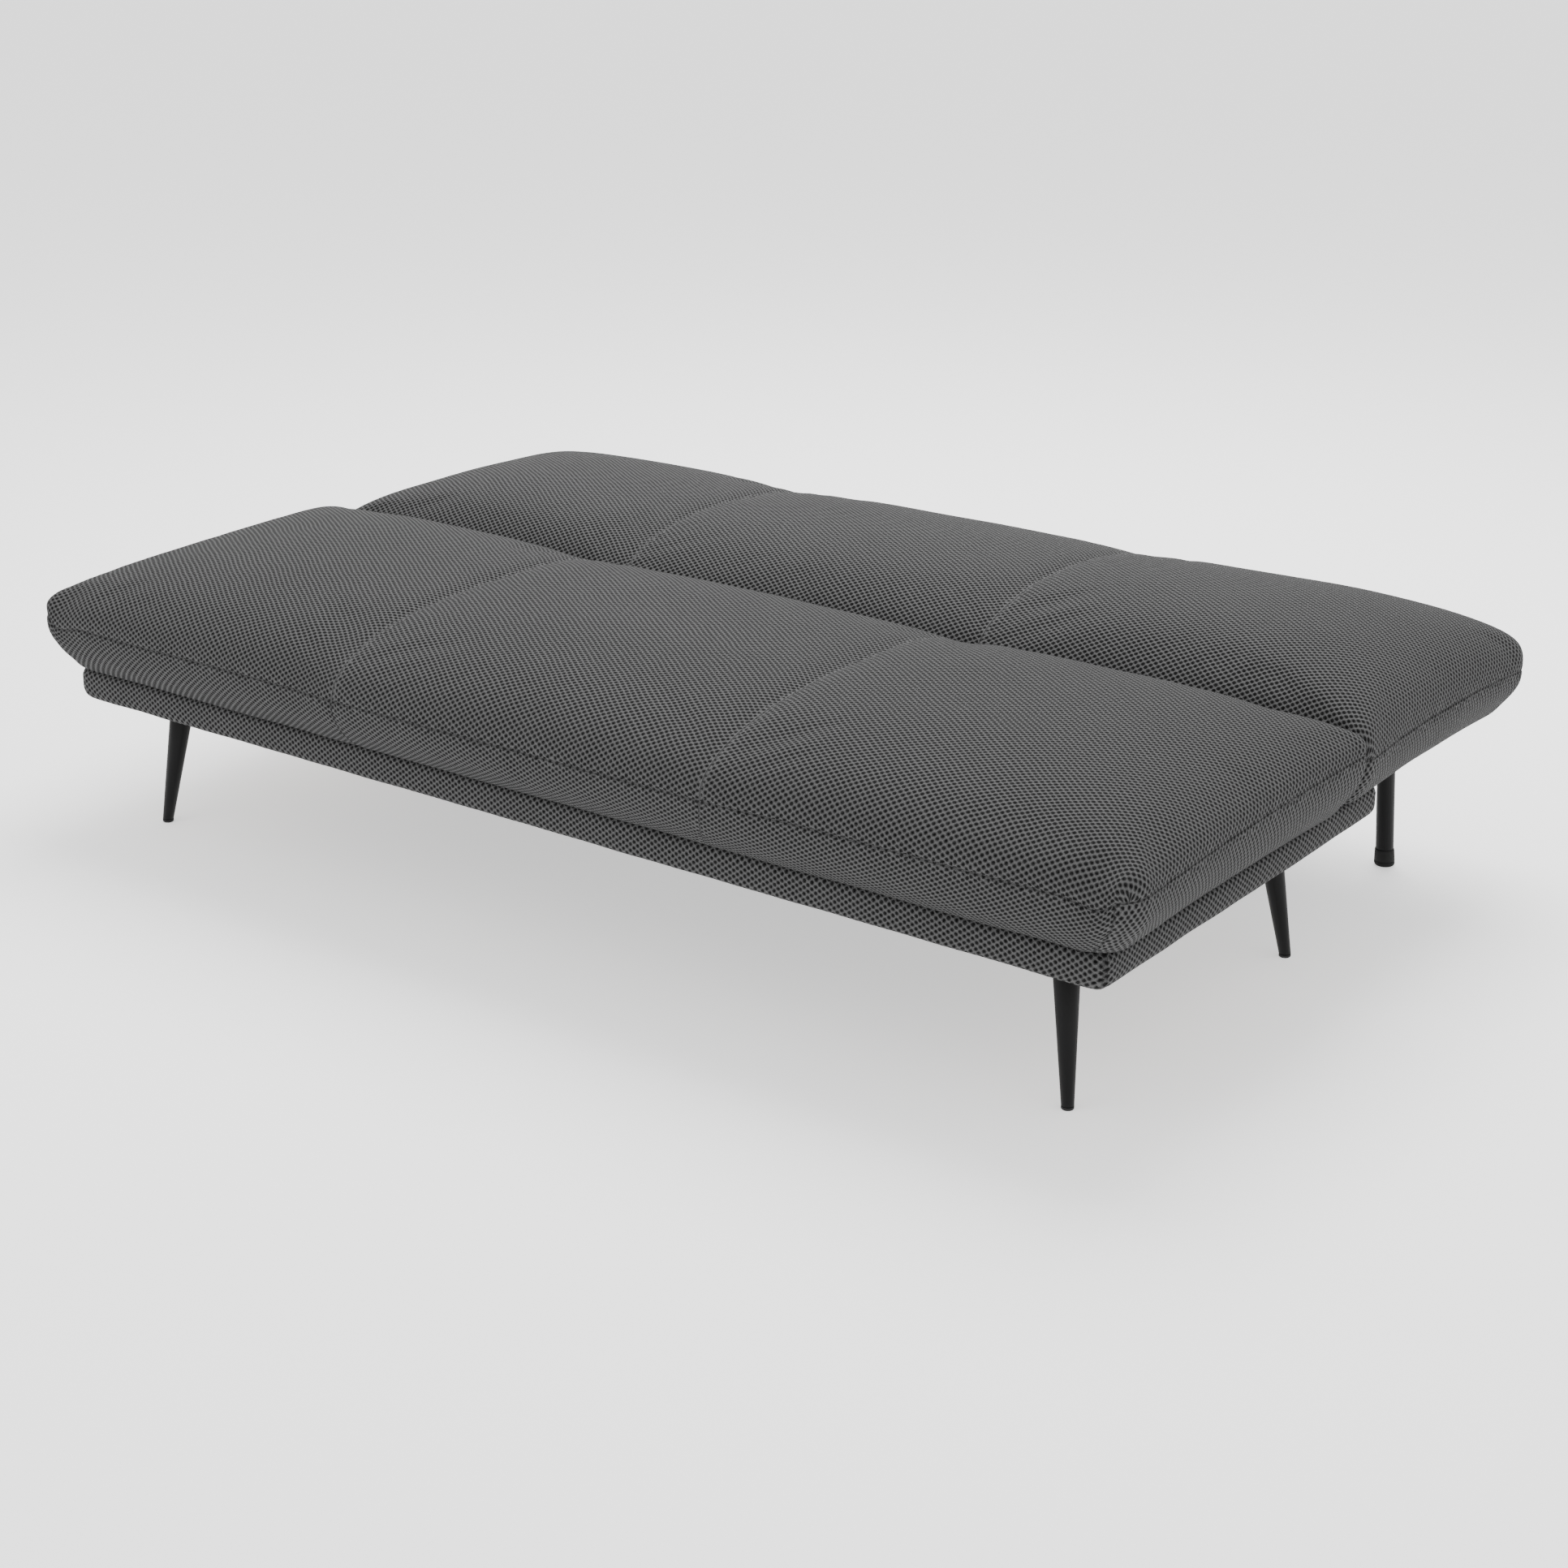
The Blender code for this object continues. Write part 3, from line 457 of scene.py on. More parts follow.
class Cushion:
    """One section's upholstery: a crowned top panel, a boxing round it, and a hem turned in underneath.

    The top is a grid whose rim is the panel seam. The boxing is rings below that rim. Each vertex keeps its
    distance to the nearest seam, and each face corner its place on the flat fabric.
    """

    step = 0.0100
    boxing_rows = (0.02, 0.05, 0.10, 0.18, 0.30, 0.42, 0.54, 0.66, 0.78, 0.89, 1.0)    # depth shares

    def __init__(self, name, body, nodes, hinge_side, form):
        self.name = name
        self.body = body
        self.nodes = nodes
        self.hinge_side = hinge_side
        self.form = form
        low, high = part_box(nodes[0])
        self.half_x = high.x
        self.front, self.rear = low.y, high.y
        self.bottom_z = low.z - form.sag
        self.half_y = (self.rear - self.front) / 2
        self.middle_y = (self.rear + self.front) / 2

    # -- the form
    def grid_lines(self):
        """The grid's x and y values: a line on each sewn seam, and closer together towards the rim."""
        middle = np.linspace(-SEGMENT_HALF, SEGMENT_HALF, round(2 * SEGMENT_HALF / self.step) + 1)
        reach = self.half_x - SEGMENT_HALF
        outer = SEGMENT_HALF + reach * closing_shares(round(1.25 * reach / self.step))[1:]
        x = np.concatenate([-outer[::-1], middle, outer])
        along = closing_shares(round(1.25 * self.half_y / self.step))
        y = self.middle_y + self.half_y * np.concatenate([-along[:0:-1], along])
        return x, y

    def puff(self, x):
        """0 on a sewn line, 1 in the middle of a segment."""
        inner = (x / SEGMENT_HALF + 1.0) / 2
        outer = (np.abs(x) - SEGMENT_HALF) / (self.half_x - SEGMENT_HALF)
        share = np.clip(np.where(np.abs(x) <= SEGMENT_HALF, inner, outer), 0.0, 1.0)
        return np.sin(math.pi * share) ** 0.6

    def rim_lift(self, x, y):
        """How far the panel's seam is above the base of the crown."""
        form = self.form
        depth = (y - self.front) / (self.rear - self.front)
        ends = np.abs(x) / self.half_x
        lift = form.front_lift + (form.rear_lift - form.front_lift) * depth
        return lift + form.end_lift * ends**16 + form.end_arch * np.sin(math.pi * depth) * ends**6

    def corner_dip(self, x, y):
        """How far the front seam dips beside the front corners."""
        beside = np.clip((self.half_x - DIP_START - np.abs(x)) / DIP_SPAN, 0.0, 1.0)
        fade = np.exp(-(((y - self.front) / DIP_REACH) ** 2))
        return self.form.front_dip * np.sin(math.pi * beside**0.6) ** 2 * fade

    def top(self, x, y):
        """The top panel's points."""
        form = self.form
        end_power = np.where(x < 0.0, form.left_power, form.right_power)
        across = roll(self.half_x - np.abs(x), form.end_roll, end_power)
        along = roll(y - self.front, form.front_roll, form.front_power)
        along = along * roll(self.rear - y, form.rear_roll, form.rear_power)
        share = joined_rolls(across, along)
        droop = form.droop * (y - self.front) / (self.rear - self.front)
        base = form.base_z + form.base_tilt * x / self.half_x - droop
        crown = form.rise + form.rise_tilt * x / self.half_x + PUFF * self.puff(x)
        z = base - self.corner_dip(x, y) + self.rim_lift(x, y) * (1.0 - share) + crown * share
        valley = VALLEY_DEPTH * np.exp(-(((np.abs(x) - SEGMENT_HALF) / VALLEY_WIDTH) ** 2))
        z = z - valley * np.minimum(share * 2.0, 1.0)
        pull = END_PULL * (np.abs(x) / self.half_x) ** 6 * (1.0 - ((y - self.middle_y) / self.half_y) ** 2)
        radius = np.where(y < self.middle_y, form.front_corner, form.rear_corner)
        over_x = np.maximum(np.abs(x) - (self.half_x - radius), 0.0) / radius
        over_y = np.maximum(np.abs(y - self.middle_y) - (self.half_y - radius), 0.0) / radius
        arc_x = radius * over_x * (1.0 - np.sqrt(1.0 - over_y**2 / 2))
        arc_y = radius * over_y * (1.0 - np.sqrt(1.0 - over_x**2 / 2))
        px = np.sign(x) * (np.abs(x) - arc_x - pull)
        py = y - np.sign(y - self.middle_y) * arc_y
        return np.stack([px, py, z], axis=-1)

    def boxing(self, seam, outward, depth):
        """The ring of boxing points at a depth share from 0 at the seam to 1 at the bottom."""
        form = self.form
        pulled = depth**form.taper_power
        x = seam[:, 0] * (1.0 - form.taper_end * pulled / self.half_x)
        offset = seam[:, 1] - self.middle_y
        taper = np.where(offset < 0.0, form.taper_front, form.taper_rear)
        y = self.middle_y + offset * (1.0 - taper * pulled / self.half_y)
        z = seam[:, 2] * (1.0 - depth) + self.bottom_z * depth
        swell = form.waist * math.sin(math.pi * depth**0.8)
        return np.stack([x, y, z], axis=-1) + swell * outward

    # -- the mesh
    def rings_below(self, seam, outward):
        """The boxing's and the hem's rings of points, and how far down the fabric each one lies."""
        rings, depths = [], []
        previous, depth = seam, 0.0
        for share in self.boxing_rows:
            ring = self.boxing(seam, outward, share)
            depth += float(np.linalg.norm(ring - previous, axis=1).mean())
            rings.append(ring)
            depths.append(depth)
            previous = ring
        for inset in HEM:
            ring = previous - outward * inset
            ring[:, 2] = self.bottom_z - HEM_DROP
            depth += inset
            rings.append(ring)
            depths.append(depth)
        return rings, depths

    def top_faces(self, index, width, length):
        """The top panel's faces, and each corner's place on the flat fabric."""
        faces, places = [], []
        for i in range(len(index) - 1):
            for j in range(len(index[0]) - 1):
                corners = ((i, j), (i + 1, j), (i + 1, j + 1), (i, j + 1))
                faces.append([int(index[c]) for c in corners])
                places.append([(width[c], length[c]) for c in corners])
        return faces, places

    def boxing_faces(self, rows, depths, around, panel):
        """The boxing's faces. At the ends its fabric is cut across, so there its places are swapped."""
        faces, places = [], []
        for row in range(len(rows) - 1):
            upper, lower = rows[row], rows[row + 1]
            for k in range(len(upper)):
                n = (k + 1) % len(upper)
                faces.append([int(upper[k]), int(lower[k]), int(lower[n]), int(upper[n])])
                shift = PANEL_SHIFT * panel[k]
                s0, s1 = around[k] + shift, around[k + 1] + shift
                d0, d1 = -depths[row], -depths[row + 1]
                corners = [(s0, d0), (s0, d1), (s1, d1), (s1, d0)]
                places.append([(d, s) for s, d in corners] if panel[k] >= END_PANEL else corners)
        return faces, places

    def build(self):
        x_lines, y_lines = self.grid_lines()
        grid = self.top(*np.meshgrid(x_lines, y_lines, indexing="ij"))
        top_count = len(x_lines) * len(y_lines)
        index = np.arange(top_count).reshape(len(x_lines), len(y_lines))
        rim = np.concatenate([index[:-1, 0], index[-1, :-1], index[:0:-1, -1], index[0, :0:-1]])
        seam = grid.reshape(-1, 3)[rim]
        along = np.roll(seam, -1, axis=0) - np.roll(seam, 1, axis=0)
        outward = np.stack([along[:, 1], -along[:, 0], np.zeros(len(rim))], axis=-1)
        outward /= np.linalg.norm(outward, axis=1)[:, None]
        around = distance_round(seam)

        rings, depths = self.rings_below(seam, outward)
        below_rows = top_count + np.arange(len(rings) * len(rim)).reshape(len(rings), len(rim))
        panel = self.boxing_panels(seam)
        width, length = self.arc_lengths(grid, 0), self.arc_lengths(grid, 1)
        faces, places = self.top_faces(index, width, length)
        more_faces, more_places = self.boxing_faces([rim, *below_rows], [0.0, *depths], around, panel)

        points = np.vstack([grid.reshape(-1, 3), *rings])
        obj = mesh_object(self.name, points, faces + more_faces, self.body)
        layer = obj.data.uv_layers.new(name="fabric")
        layer.data.foreach_set("uv", np.array(places + more_places, np.float32).ravel())
        add_float(obj, "seam", self.seam_distance(grid, width, length, panel, around, depths))
        sewn_gap = np.abs(np.abs(grid[..., 0]) - SEGMENT_HALF).ravel()
        add_float(obj, "tuck", np.concatenate([sewn_gap, np.ones(len(points) - top_count)]))
        add_float(obj, "below", np.concatenate([np.zeros(top_count), np.repeat(depths, len(rim))]))
        return obj

    def arc_lengths(self, grid, axis):
        """Distance over the surface from the grid's middle line, along one of its directions."""
        gaps = np.linalg.norm(np.diff(grid, axis=axis), axis=-1)
        first = np.zeros_like(np.take(gaps, [0], axis=axis))
        total = np.concatenate([first, np.cumsum(gaps, axis=axis)], axis=axis)
        return total - np.take(total, [grid.shape[axis] // 2], axis=axis)

    def boxing_panels(self, seam):
        """Numbers the boxing's separate pieces of fabric, from one vertical seam to the next."""
        x, y = seam[:, 0], seam[:, 1] - self.middle_y
        on_end = np.abs(x) > self.half_x - CORNER_SEAM_INSET
        third = np.where(x < -SEGMENT_HALF, 0, np.where(x < SEGMENT_HALF, 1, 2))
        side = third + 3 * (y > 0.0)
        return np.where(on_end, END_PANEL + (x > 0.0), side)

    def seam_distance(self, grid, width, length, panel, around, depths):
        """Each vertex's distance to the nearest stitched seam."""
        end_gap = np.minimum(width - width[:1], width[-1:] - width)
        side_gap = np.minimum(length - length[:, :1], length[:, -1:] - length)
        sewn_gap = np.abs(np.abs(grid[..., 0]) - SEGMENT_HALF)
        top = np.minimum(np.minimum(end_gap, side_gap), sewn_gap).ravel()
        changes = np.nonzero(panel != np.roll(panel, 1))[0]
        upright = distance_to(changes, around)
        return np.concatenate([top, *(np.minimum(upright, depth) for depth in depths)])

    # -- the cloth
    def swell(self, obj):
        """Blows the cover up a little with a cloth simulation, and caps how far it moves.

        The sewn lines across the top and the hem are held.
        """
        start = get_points(obj)
        low = start[:, 2] < self.bottom_z + CLOTH_HELD_HEIGHT
        on_sewn_line = get_float(obj, "tuck") < CLOTH_HELD_REACH
        held = obj.vertex_groups.new(name="held")
        for i in np.nonzero(on_sewn_line | low)[0]:
            held.add([int(i)], 1.0, "REPLACE")
        cloth = obj.modifiers.new("cloth", "CLOTH")
        settings = cloth.settings
        settings.quality = 6
        settings.mass = 0.3
        settings.tension_stiffness = 25.0
        settings.compression_stiffness = 25.0
        settings.shear_stiffness = 12.0
        settings.bending_stiffness = 0.8
        settings.use_pressure = True
        settings.uniform_pressure_force = 3.0
        settings.shrink_min = -0.002
        settings.vertex_group_mass = "held"
        settings.effector_weights.gravity = 0.0
        cloth.point_cache.frame_start = 1
        cloth.point_cache.frame_end = CLOTH_FRAMES
        for number in range(1, CLOTH_FRAMES + 1):
            bpy.context.scene.frame_set(number)
        graph = bpy.context.evaluated_depsgraph_get()
        evaluated = obj.evaluated_get(graph)
        moved = np.empty(len(start) * 3)
        evaluated.data.vertices.foreach_get("co", moved)
        move = moved.reshape(-1, 3) - start
        obj.modifiers.remove(cloth)
        bpy.context.scene.frame_set(1)
        obj.vertex_groups.clear()
        size = np.linalg.norm(move, axis=1)
        capped = CLOTH_CAP * np.tanh(size / CLOTH_CAP)
        set_points(obj, start + move * (capped / np.maximum(size, 1e-9))[:, None])

    def clear_hinges(self, obj):
        """Presses the side that faces the other section in around each hinge."""
        points = get_points(obj)
        for label in ("left", "right"):
            low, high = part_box(f"hinge_seat_arm_{label}")
            rim_low, rim_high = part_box(f"hinge_ratchet_{label}")
            middle_x = (min(low.x, rim_low.x) + max(high.x, rim_high.x)) / 2
            half = (max(high.x, rim_high.x) - min(low.x, rim_low.x)) / 2 + HINGE_MARGIN
            near = np.clip(1.0 - (np.abs(points[:, 0] - middle_x) - half) / HINGE_REACH, 0.0, 1.0)
            near = near**2 * (3.0 - 2.0 * near)
            below = np.clip((high.z + HINGE_TOP_MARGIN - points[:, 2]) / HINGE_TOP_FADE, 0.0, 1.0)
            near = near * below**2 * (3.0 - 2.0 * below)
            if self.hinge_side > 0:
                over = np.maximum(points[:, 1] - rim_low.y + HINGE_CLEARANCE, 0.0)
            else:
                over = -np.maximum(rim_high.y + HINGE_CLEARANCE - points[:, 1], 0.0)
            points[:, 1] -= over * near
        set_points(obj, points)

    def stitch(self, obj):
        """Presses the seams in, with puckers along them that fade out into the panels."""
        points, normals = get_points(obj), get_normals(obj)
        seam, below = get_float(obj, "seam"), get_float(obj, "below")
        ripple = noise_at(points, PUCKER_SCALE)
        broad = noise_at(points, UNEVENNESS_SCALE)
        welt = WELT_HEIGHT * np.exp(-(((below - WELT_DEPTH) / (WELT_DEPTH / 2)) ** 2)) * (below > 0.0)
        press = SEAM_GROOVE * np.exp(-((seam / SEAM_WIDTH) ** 2)) - welt
        pucker = PUCKER * ripple * np.exp(-((seam / PUCKER_REACH) ** 2))
        set_points(obj, points - normals * (press + pucker - UNEVENNESS * broad)[:, None])

    def make(self):
        obj = self.build()
        self.swell(obj)
        self.clear_hinges(obj)
        subdivide = obj.modifiers.new("subdivide", "SUBSURF")
        subdivide.levels = subdivide.render_levels = 1
        apply_modifiers(obj)
        self.stitch(obj)
        obj.data.shade_smooth()
        finish_piece(obj, MESH_FABRIC, *self.nodes)


def make_cushions():
    seat = Form(
        base_z=0.309, base_tilt=0.002, droop=0.0,
        front_lift=0.0, rear_lift=0.011, end_lift=0.007, end_arch=0.002,
        rise=0.0885, rise_tilt=0.0,
        front_roll=0.30, front_power=2.4, rear_roll=0.24, rear_power=2.6,
        front_corner=0.045, rear_corner=0.028, end_roll=0.40, left_power=2.6, right_power=2.7,
        taper_end=0.046, taper_front=0.030, taper_rear=0.014, taper_power=2.2,
        waist=0.003, front_dip=0.008, sag=0.003,
    )
    Cushion("seat_cushion", "seat", ("seat_cover", "seat_foam"), 1, seat).make()
    back = Form(
        base_z=0.300, base_tilt=0.0, droop=0.016,
        front_lift=0.007, rear_lift=0.014, end_lift=0.0, end_arch=0.006,
        rise=0.105, rise_tilt=0.012,
        front_roll=0.26, front_power=2.5, rear_roll=0.315, rear_power=3.0,
        front_corner=0.022, rear_corner=0.042, end_roll=0.30, left_power=2.2, right_power=2.5,
        taper_end=0.034, taper_front=0.014, taper_rear=0.036, taper_power=2.0,
        waist=0.003, front_dip=0.0, sag=0.001,
    )
    Cushion("back_cushion", "back", ("back_cover", "back_foam"), -1, back).make()


# ---------------------------------------------------------------- plinth
PLINTH_END_SWELL = 0.0045      # how far the padded ends stand proud of the CAD solid
PLINTH_SIDE_SWELL = 0.0015     # and the front and the rear
PLINTH_SAG = 0.001             # and how far the lower edge hangs below it
PLINTH_CORNER = 0.018          # radius in plan
PLINTH_LEAST_CORNER = 0.006
PLINTH_END_ROUND = 0.015       # radius of the lower edge at the ends
PLINTH_SIDE_ROUND = 0.007      # and along the front and the rear
PLINTH_ROUND_STEPS = 9
PLINTH_TOP_EDGE = (            # each ring's drop below the top, and how far in it is
    (0.0110, 0.0195), (0.0040, 0.0150), (0.0, 0.0100), (0.0012, 0.0055), (0.0050, 0.0018), (0.0100, 0.0002),
)
PLINTH_HEM = ((0.0, 0.011), (0.0006, 0.021))    # each turned-in ring's rise, and how far in it is
PLINTH_SEAM_WIDTH = 0.004
PLINTH_SEAM_GROOVE = 0.0012
PLINTH_WRINKLE = 0.0009        # height of the wrinkles in the cover
PLINTH_WRINKLE_SCALE = 16.0
PLINTH_CLOTH = 0.0022          # its thickness


def edge_inset(height, radius):
    """How far a rounded lower edge is set in at a height above its foot."""
    left = max(radius - height, 0.0)
    return radius - math.sqrt(radius**2 - left**2)


def plinth_section(bottom, top):
    """The cover's section from its inner top edge down: each ring's height, and how far it is set in
    from the front and rear, and from the ends."""
    section = []
    for drop, inset in PLINTH_TOP_EDGE:
        section.append((top - drop, inset, inset))
    for i in range(PLINTH_ROUND_STEPS + 1):
        height = PLINTH_END_ROUND * (1.0 - math.sin(math.pi / 2 * i / PLINTH_ROUND_STEPS))
        insets = edge_inset(height, PLINTH_SIDE_ROUND), edge_inset(height, PLINTH_END_ROUND)
        section.append((bottom + height, *insets))
    for rise, turned_in in PLINTH_HEM:
        section.append((bottom + rise, PLINTH_SIDE_ROUND + turned_in, PLINTH_END_ROUND + turned_in))
    return section


def plinth_ring(z, half_x, half_y, middle_y, radius):
    """A level ring round the plinth: four rounded corners, with straight runs between them."""
    arc_steps, long_steps, short_steps = 10, 160, 64
    corners = []
    for sign_x, sign_y, start in ((1, 1, 0.0), (-1, 1, 0.5), (-1, -1, 1.0), (1, -1, 1.5)):
        centre = (sign_x * (half_x - radius), middle_y + sign_y * (half_y - radius))
        for step in range(arc_steps + 1):
            angle = math.pi * (start + step / arc_steps / 2)
            corners.append((centre[0] + radius * math.cos(angle), centre[1] + radius * math.sin(angle), z))
    ring = []
    for k, point in enumerate(corners):
        ring.append(point)
        if k % (arc_steps + 1) == arc_steps:
            follow = corners[(k + 1) % len(corners)]
            count = long_steps if math.dist(point, follow) > 1.0 else short_steps
            for step in range(1, count):
                ring.append(tuple(a + (b - a) * step / count for a, b in zip(point, follow)))
    return ring


def make_plinth():
    """The plinth's wrapped cover: fuller at the ends than along the front, with a seam down each corner."""
    low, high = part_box("base_cover")
    half_x = high.x + PLINTH_END_SWELL
    half_y = (high.y - low.y) / 2 + PLINTH_SIDE_SWELL
    middle_y = (high.y + low.y) / 2
    section = plinth_section(low.z - PLINTH_SAG, high.z)
    rings = []
    for z, inset_y, inset_x in section:
        radius = max(PLINTH_CORNER - min(inset_x, inset_y) * 0.5, PLINTH_LEAST_CORNER)
        rings.append(plinth_ring(z, half_x - inset_x, half_y - inset_y, middle_y, radius))
    base = np.array(rings[len(rings) // 2])
    around = distance_round(base)
    downs = [0.0]
    for upper, lower in zip(section, section[1:]):
        downs.append(downs[-1] + math.hypot(upper[0] - lower[0], upper[1] - lower[1]))
    count = len(base)
    faces, places = [], []
    for row in range(len(rings) - 1):
        upper, lower = row * count, (row + 1) * count
        for k in range(count):
            n = (k + 1) % count
            faces.append((upper + n, lower + n, lower + k, upper + k))
            places.append([(around[k + 1], -downs[row]), (around[k + 1], -downs[row + 1]),
                           (around[k], -downs[row + 1]), (around[k], -downs[row])])
    points = np.vstack(rings)
    obj = mesh_object("plinth_cover", points, faces, "seat")
    layer = obj.data.uv_layers.new(name="fabric")
    layer.data.foreach_set("uv", np.array(places, np.float32).ravel())

    from_corner_x = np.abs(base[:, 0]) - half_x + PLINTH_CORNER * 0.3
    from_corner_y = np.abs(base[:, 1] - middle_y) - half_y + PLINTH_CORNER * 0.3
    seams = np.nonzero(np.hypot(from_corner_x, from_corner_y) < 0.003)[0]
    seam = np.tile(distance_to(seams, around), len(rings))
    add_float(obj, "seam", seam)
    add_float(obj, "tuck", np.ones(len(seam)))
    press = PLINTH_SEAM_GROOVE * np.exp(-((seam / PLINTH_SEAM_WIDTH) ** 2))
    wrinkles = PLINTH_WRINKLE * noise_at(get_points(obj), PLINTH_WRINKLE_SCALE)
    set_points(obj, get_points(obj) + get_normals(obj) * (wrinkles - press)[:, None])
    thicken(obj, PLINTH_CLOTH, -1.0)
    finish_piece(obj, MESH_FABRIC, "base_cover")


# ---------------------------------------------------------------- legs and metalwork
CAP_CLEARANCE = 0.0003         # between a rubber cap and its tube


def middle(name):
    low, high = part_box(name)
    return (low + high) / 2


def leaning_rod(name, node, body, foot, head, profile, material, sides=48):
    """A turned piece whose rings stay level while its axis leans from foot to head.

    The profile gives the height above the foot and the radius of each ring, from the bottom up.
    """
    points = []
    for height, radius in profile:
        centre = foot.lerp(head, height / (head.z - foot.z))
        for step in range(sides):
            angle = math.tau * step / sides
            points.append(centre + Vector((radius * math.cos(angle), radius * math.sin(angle), 0.0)))
    faces = [tuple(range(sides - 1, -1, -1))]
    for ring in range(len(profile) - 1):
        for step in range(sides):
            low, high = ring * sides, (ring + 1) * sides
            after = (step + 1) % sides
            faces.append((low + step, low + after, high + after, high + step))
    faces.append(tuple(range(len(points) - sides, len(points))))
    rod = mesh_object(name, points, faces, body)
    rod.data.set_sharp_from_angle(angle=math.radians(50))
    finish_piece(rod, material, node)


def make_tapered_leg(place):
    """A tapered leg with a softened foot and head."""
    low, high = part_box(f"leg_{place}")
    glide, plate = middle(f"glide_{place}"), middle(f"leg_plate_{place}")
    foot = Vector((glide.x, glide.y, low.z))
    head = Vector((plate.x, plate.y, high.z))
    outer, inner = max(abs(low.x), abs(high.x)), min(abs(low.x), abs(high.x))
    foot_radius, head_radius = outer - abs(foot.x), abs(head.x) - inner
    length = head.z - foot.z
    soft = 0.0008
    profile = [
        (0.0, foot_radius - soft), (soft, foot_radius),
        (length - soft, head_radius), (length, head_radius - soft),
    ]
    leaning_rod(
        f"tapered_leg_{place}", f"leg_{place}", "seat", foot, head, profile, BLACK_METAL,
    )


def make_support_cap(label):
    """The rubber ferrule on a support leg: a rounded foot, and a wall that tapers to a thin lip."""
    low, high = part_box(f"support_cap_{label}")
    tube_low, tube_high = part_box(f"support_leg_{label}")
    radius = (high.x - low.x) / 2
    tube_radius = (tube_high.x - tube_low.x) / 2
    centre_x = (high.x + low.x) / 2
    foot = Vector((centre_x, high.y - radius, low.z))
    head = Vector((centre_x, low.y + radius, high.z))
    height = high.z - low.z
    floor = tube_low.z - low.z - CAP_CLEARANCE
    # a rounded sole, a shallow groove above it, and a wall that thins towards the lip
    outside = [
        (0.0, radius - 0.0030), (0.0006, radius - 0.0014), (0.0020, radius - 0.0003),
        (0.0040, radius + 0.0003), (0.0070, radius + 0.0002), (0.0078, radius - 0.0004),
        (0.0086, radius + 0.0001),
        (height - 0.0020, radius - 0.0006), (height - 0.0004, radius - 0.0009), (height, radius - 0.0013),
    ]
    inside = [(height, tube_radius + CAP_CLEARANCE), (floor, tube_radius + CAP_CLEARANCE)]
    leaning_rod(
        f"rubber_cap_{label}", f"support_cap_{label}", f"support_{label}", foot, head, outside + inside,
        RUBBER,
    )


def soften(node, body, width, material):
    """A copy of a CAD piece with its edges rounded off."""
    piece = bpy.data.objects.new(f"finished_{node}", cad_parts[node].data.copy())
    bpy.context.scene.collection.objects.link(piece)
    weld = piece.modifiers.new("weld", "WELD")
    weld.merge_threshold = 0.00002
    edges = piece.modifiers.new("edges", "BEVEL")
    edges.width = width
    edges.segments = 2
    edges.limit_method = "ANGLE"
    edges.angle_limit = math.radians(40)
    apply_modifiers(piece)
    piece.data.shade_smooth()
    piece.data.set_sharp_from_angle(angle=math.radians(50))
    piece["rides"] = body
    finish_piece(piece, material, node)


def make_metalwork():
    for row in ("front", "rear"):
        for label in ("left", "right"):
            make_tapered_leg(f"{row}_{label}")
            soften(f"leg_plate_{row}_{label}", "seat", 0.0005, ZINC)
    for label in ("left", "right"):
        make_support_cap(label)
        soften(f"support_bracket_{label}", "back", 0.0008, BLACK_METAL)
        soften(f"hinge_seat_arm_{label}", "seat", 0.0006, BLACK_ZINC)
        soften(f"hinge_back_arm_{label}", "back", 0.0006, BLACK_ZINC)


# ---------------------------------------------------------------- linings
LINING_STEP = 0.010            # between the sheet's vertices
LINING_FREE_HALF = 0.700       # the sheet hangs free between +- this across
LINING_HELD = 0.030            # how far in from its long sides it is held flat
LINING_PUCKER = 0.0012         # depth of the puckers between the staples
LINING_CLOTH = 0.0007          # the sheet's thickness
STAPLE_PITCH = 0.055


def make_lining(name, node, body, sag):
    """A thin sheet stapled to rails: it hangs a little between them, and puckers between its staples."""
    low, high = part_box(node)
    width, length = high.x - low.x, high.y - low.y
    columns, rows = round(width / LINING_STEP), round(length / LINING_STEP)
    across = np.linspace(low.x, high.x, columns + 1)
    along = np.linspace(low.y, high.y, rows + 1)
    x, y = np.meshgrid(across, along, indexing="ij")
    share_x = np.clip(1.0 - (x / LINING_FREE_HALF) ** 2, 0.0, 1.0)
    share_y = np.clip(1.0 - ((2.0 * y - high.y - low.y) / (length - 2 * LINING_HELD)) ** 2, 0.0, 1.0)
    hang = sag * np.sqrt(share_x) * share_y
    from_side = np.minimum(y - low.y, high.y - y)
    wave = 0.5 - 0.5 * np.cos(math.tau * x / STAPLE_PITCH)
    pucker = LINING_PUCKER * wave * np.exp(-from_side / LINING_HELD)
    z = (low.z + high.z) / 2 - hang - pucker * np.sqrt(share_x)
    points = np.stack([x, y, z], axis=-1).reshape(-1, 3)
    index = np.arange(len(points)).reshape(columns + 1, rows + 1)
    faces = []
    for i in range(columns):
        for j in range(rows):
            faces.append([int(index[c]) for c in ((i, j), (i, j + 1), (i + 1, j + 1), (i + 1, j))])
    cloth = mesh_object(name, points, faces, body)
    thicken(cloth, LINING_CLOTH, 0.0)
    finish_piece(cloth, LINING, node)


def make_linings():
    make_lining(
        "plinth_lining", "dust_cover", "seat",
        0.0030,
    )
    make_lining(
        "back_underside", "back_lining", "back",
        0.0040,
    )


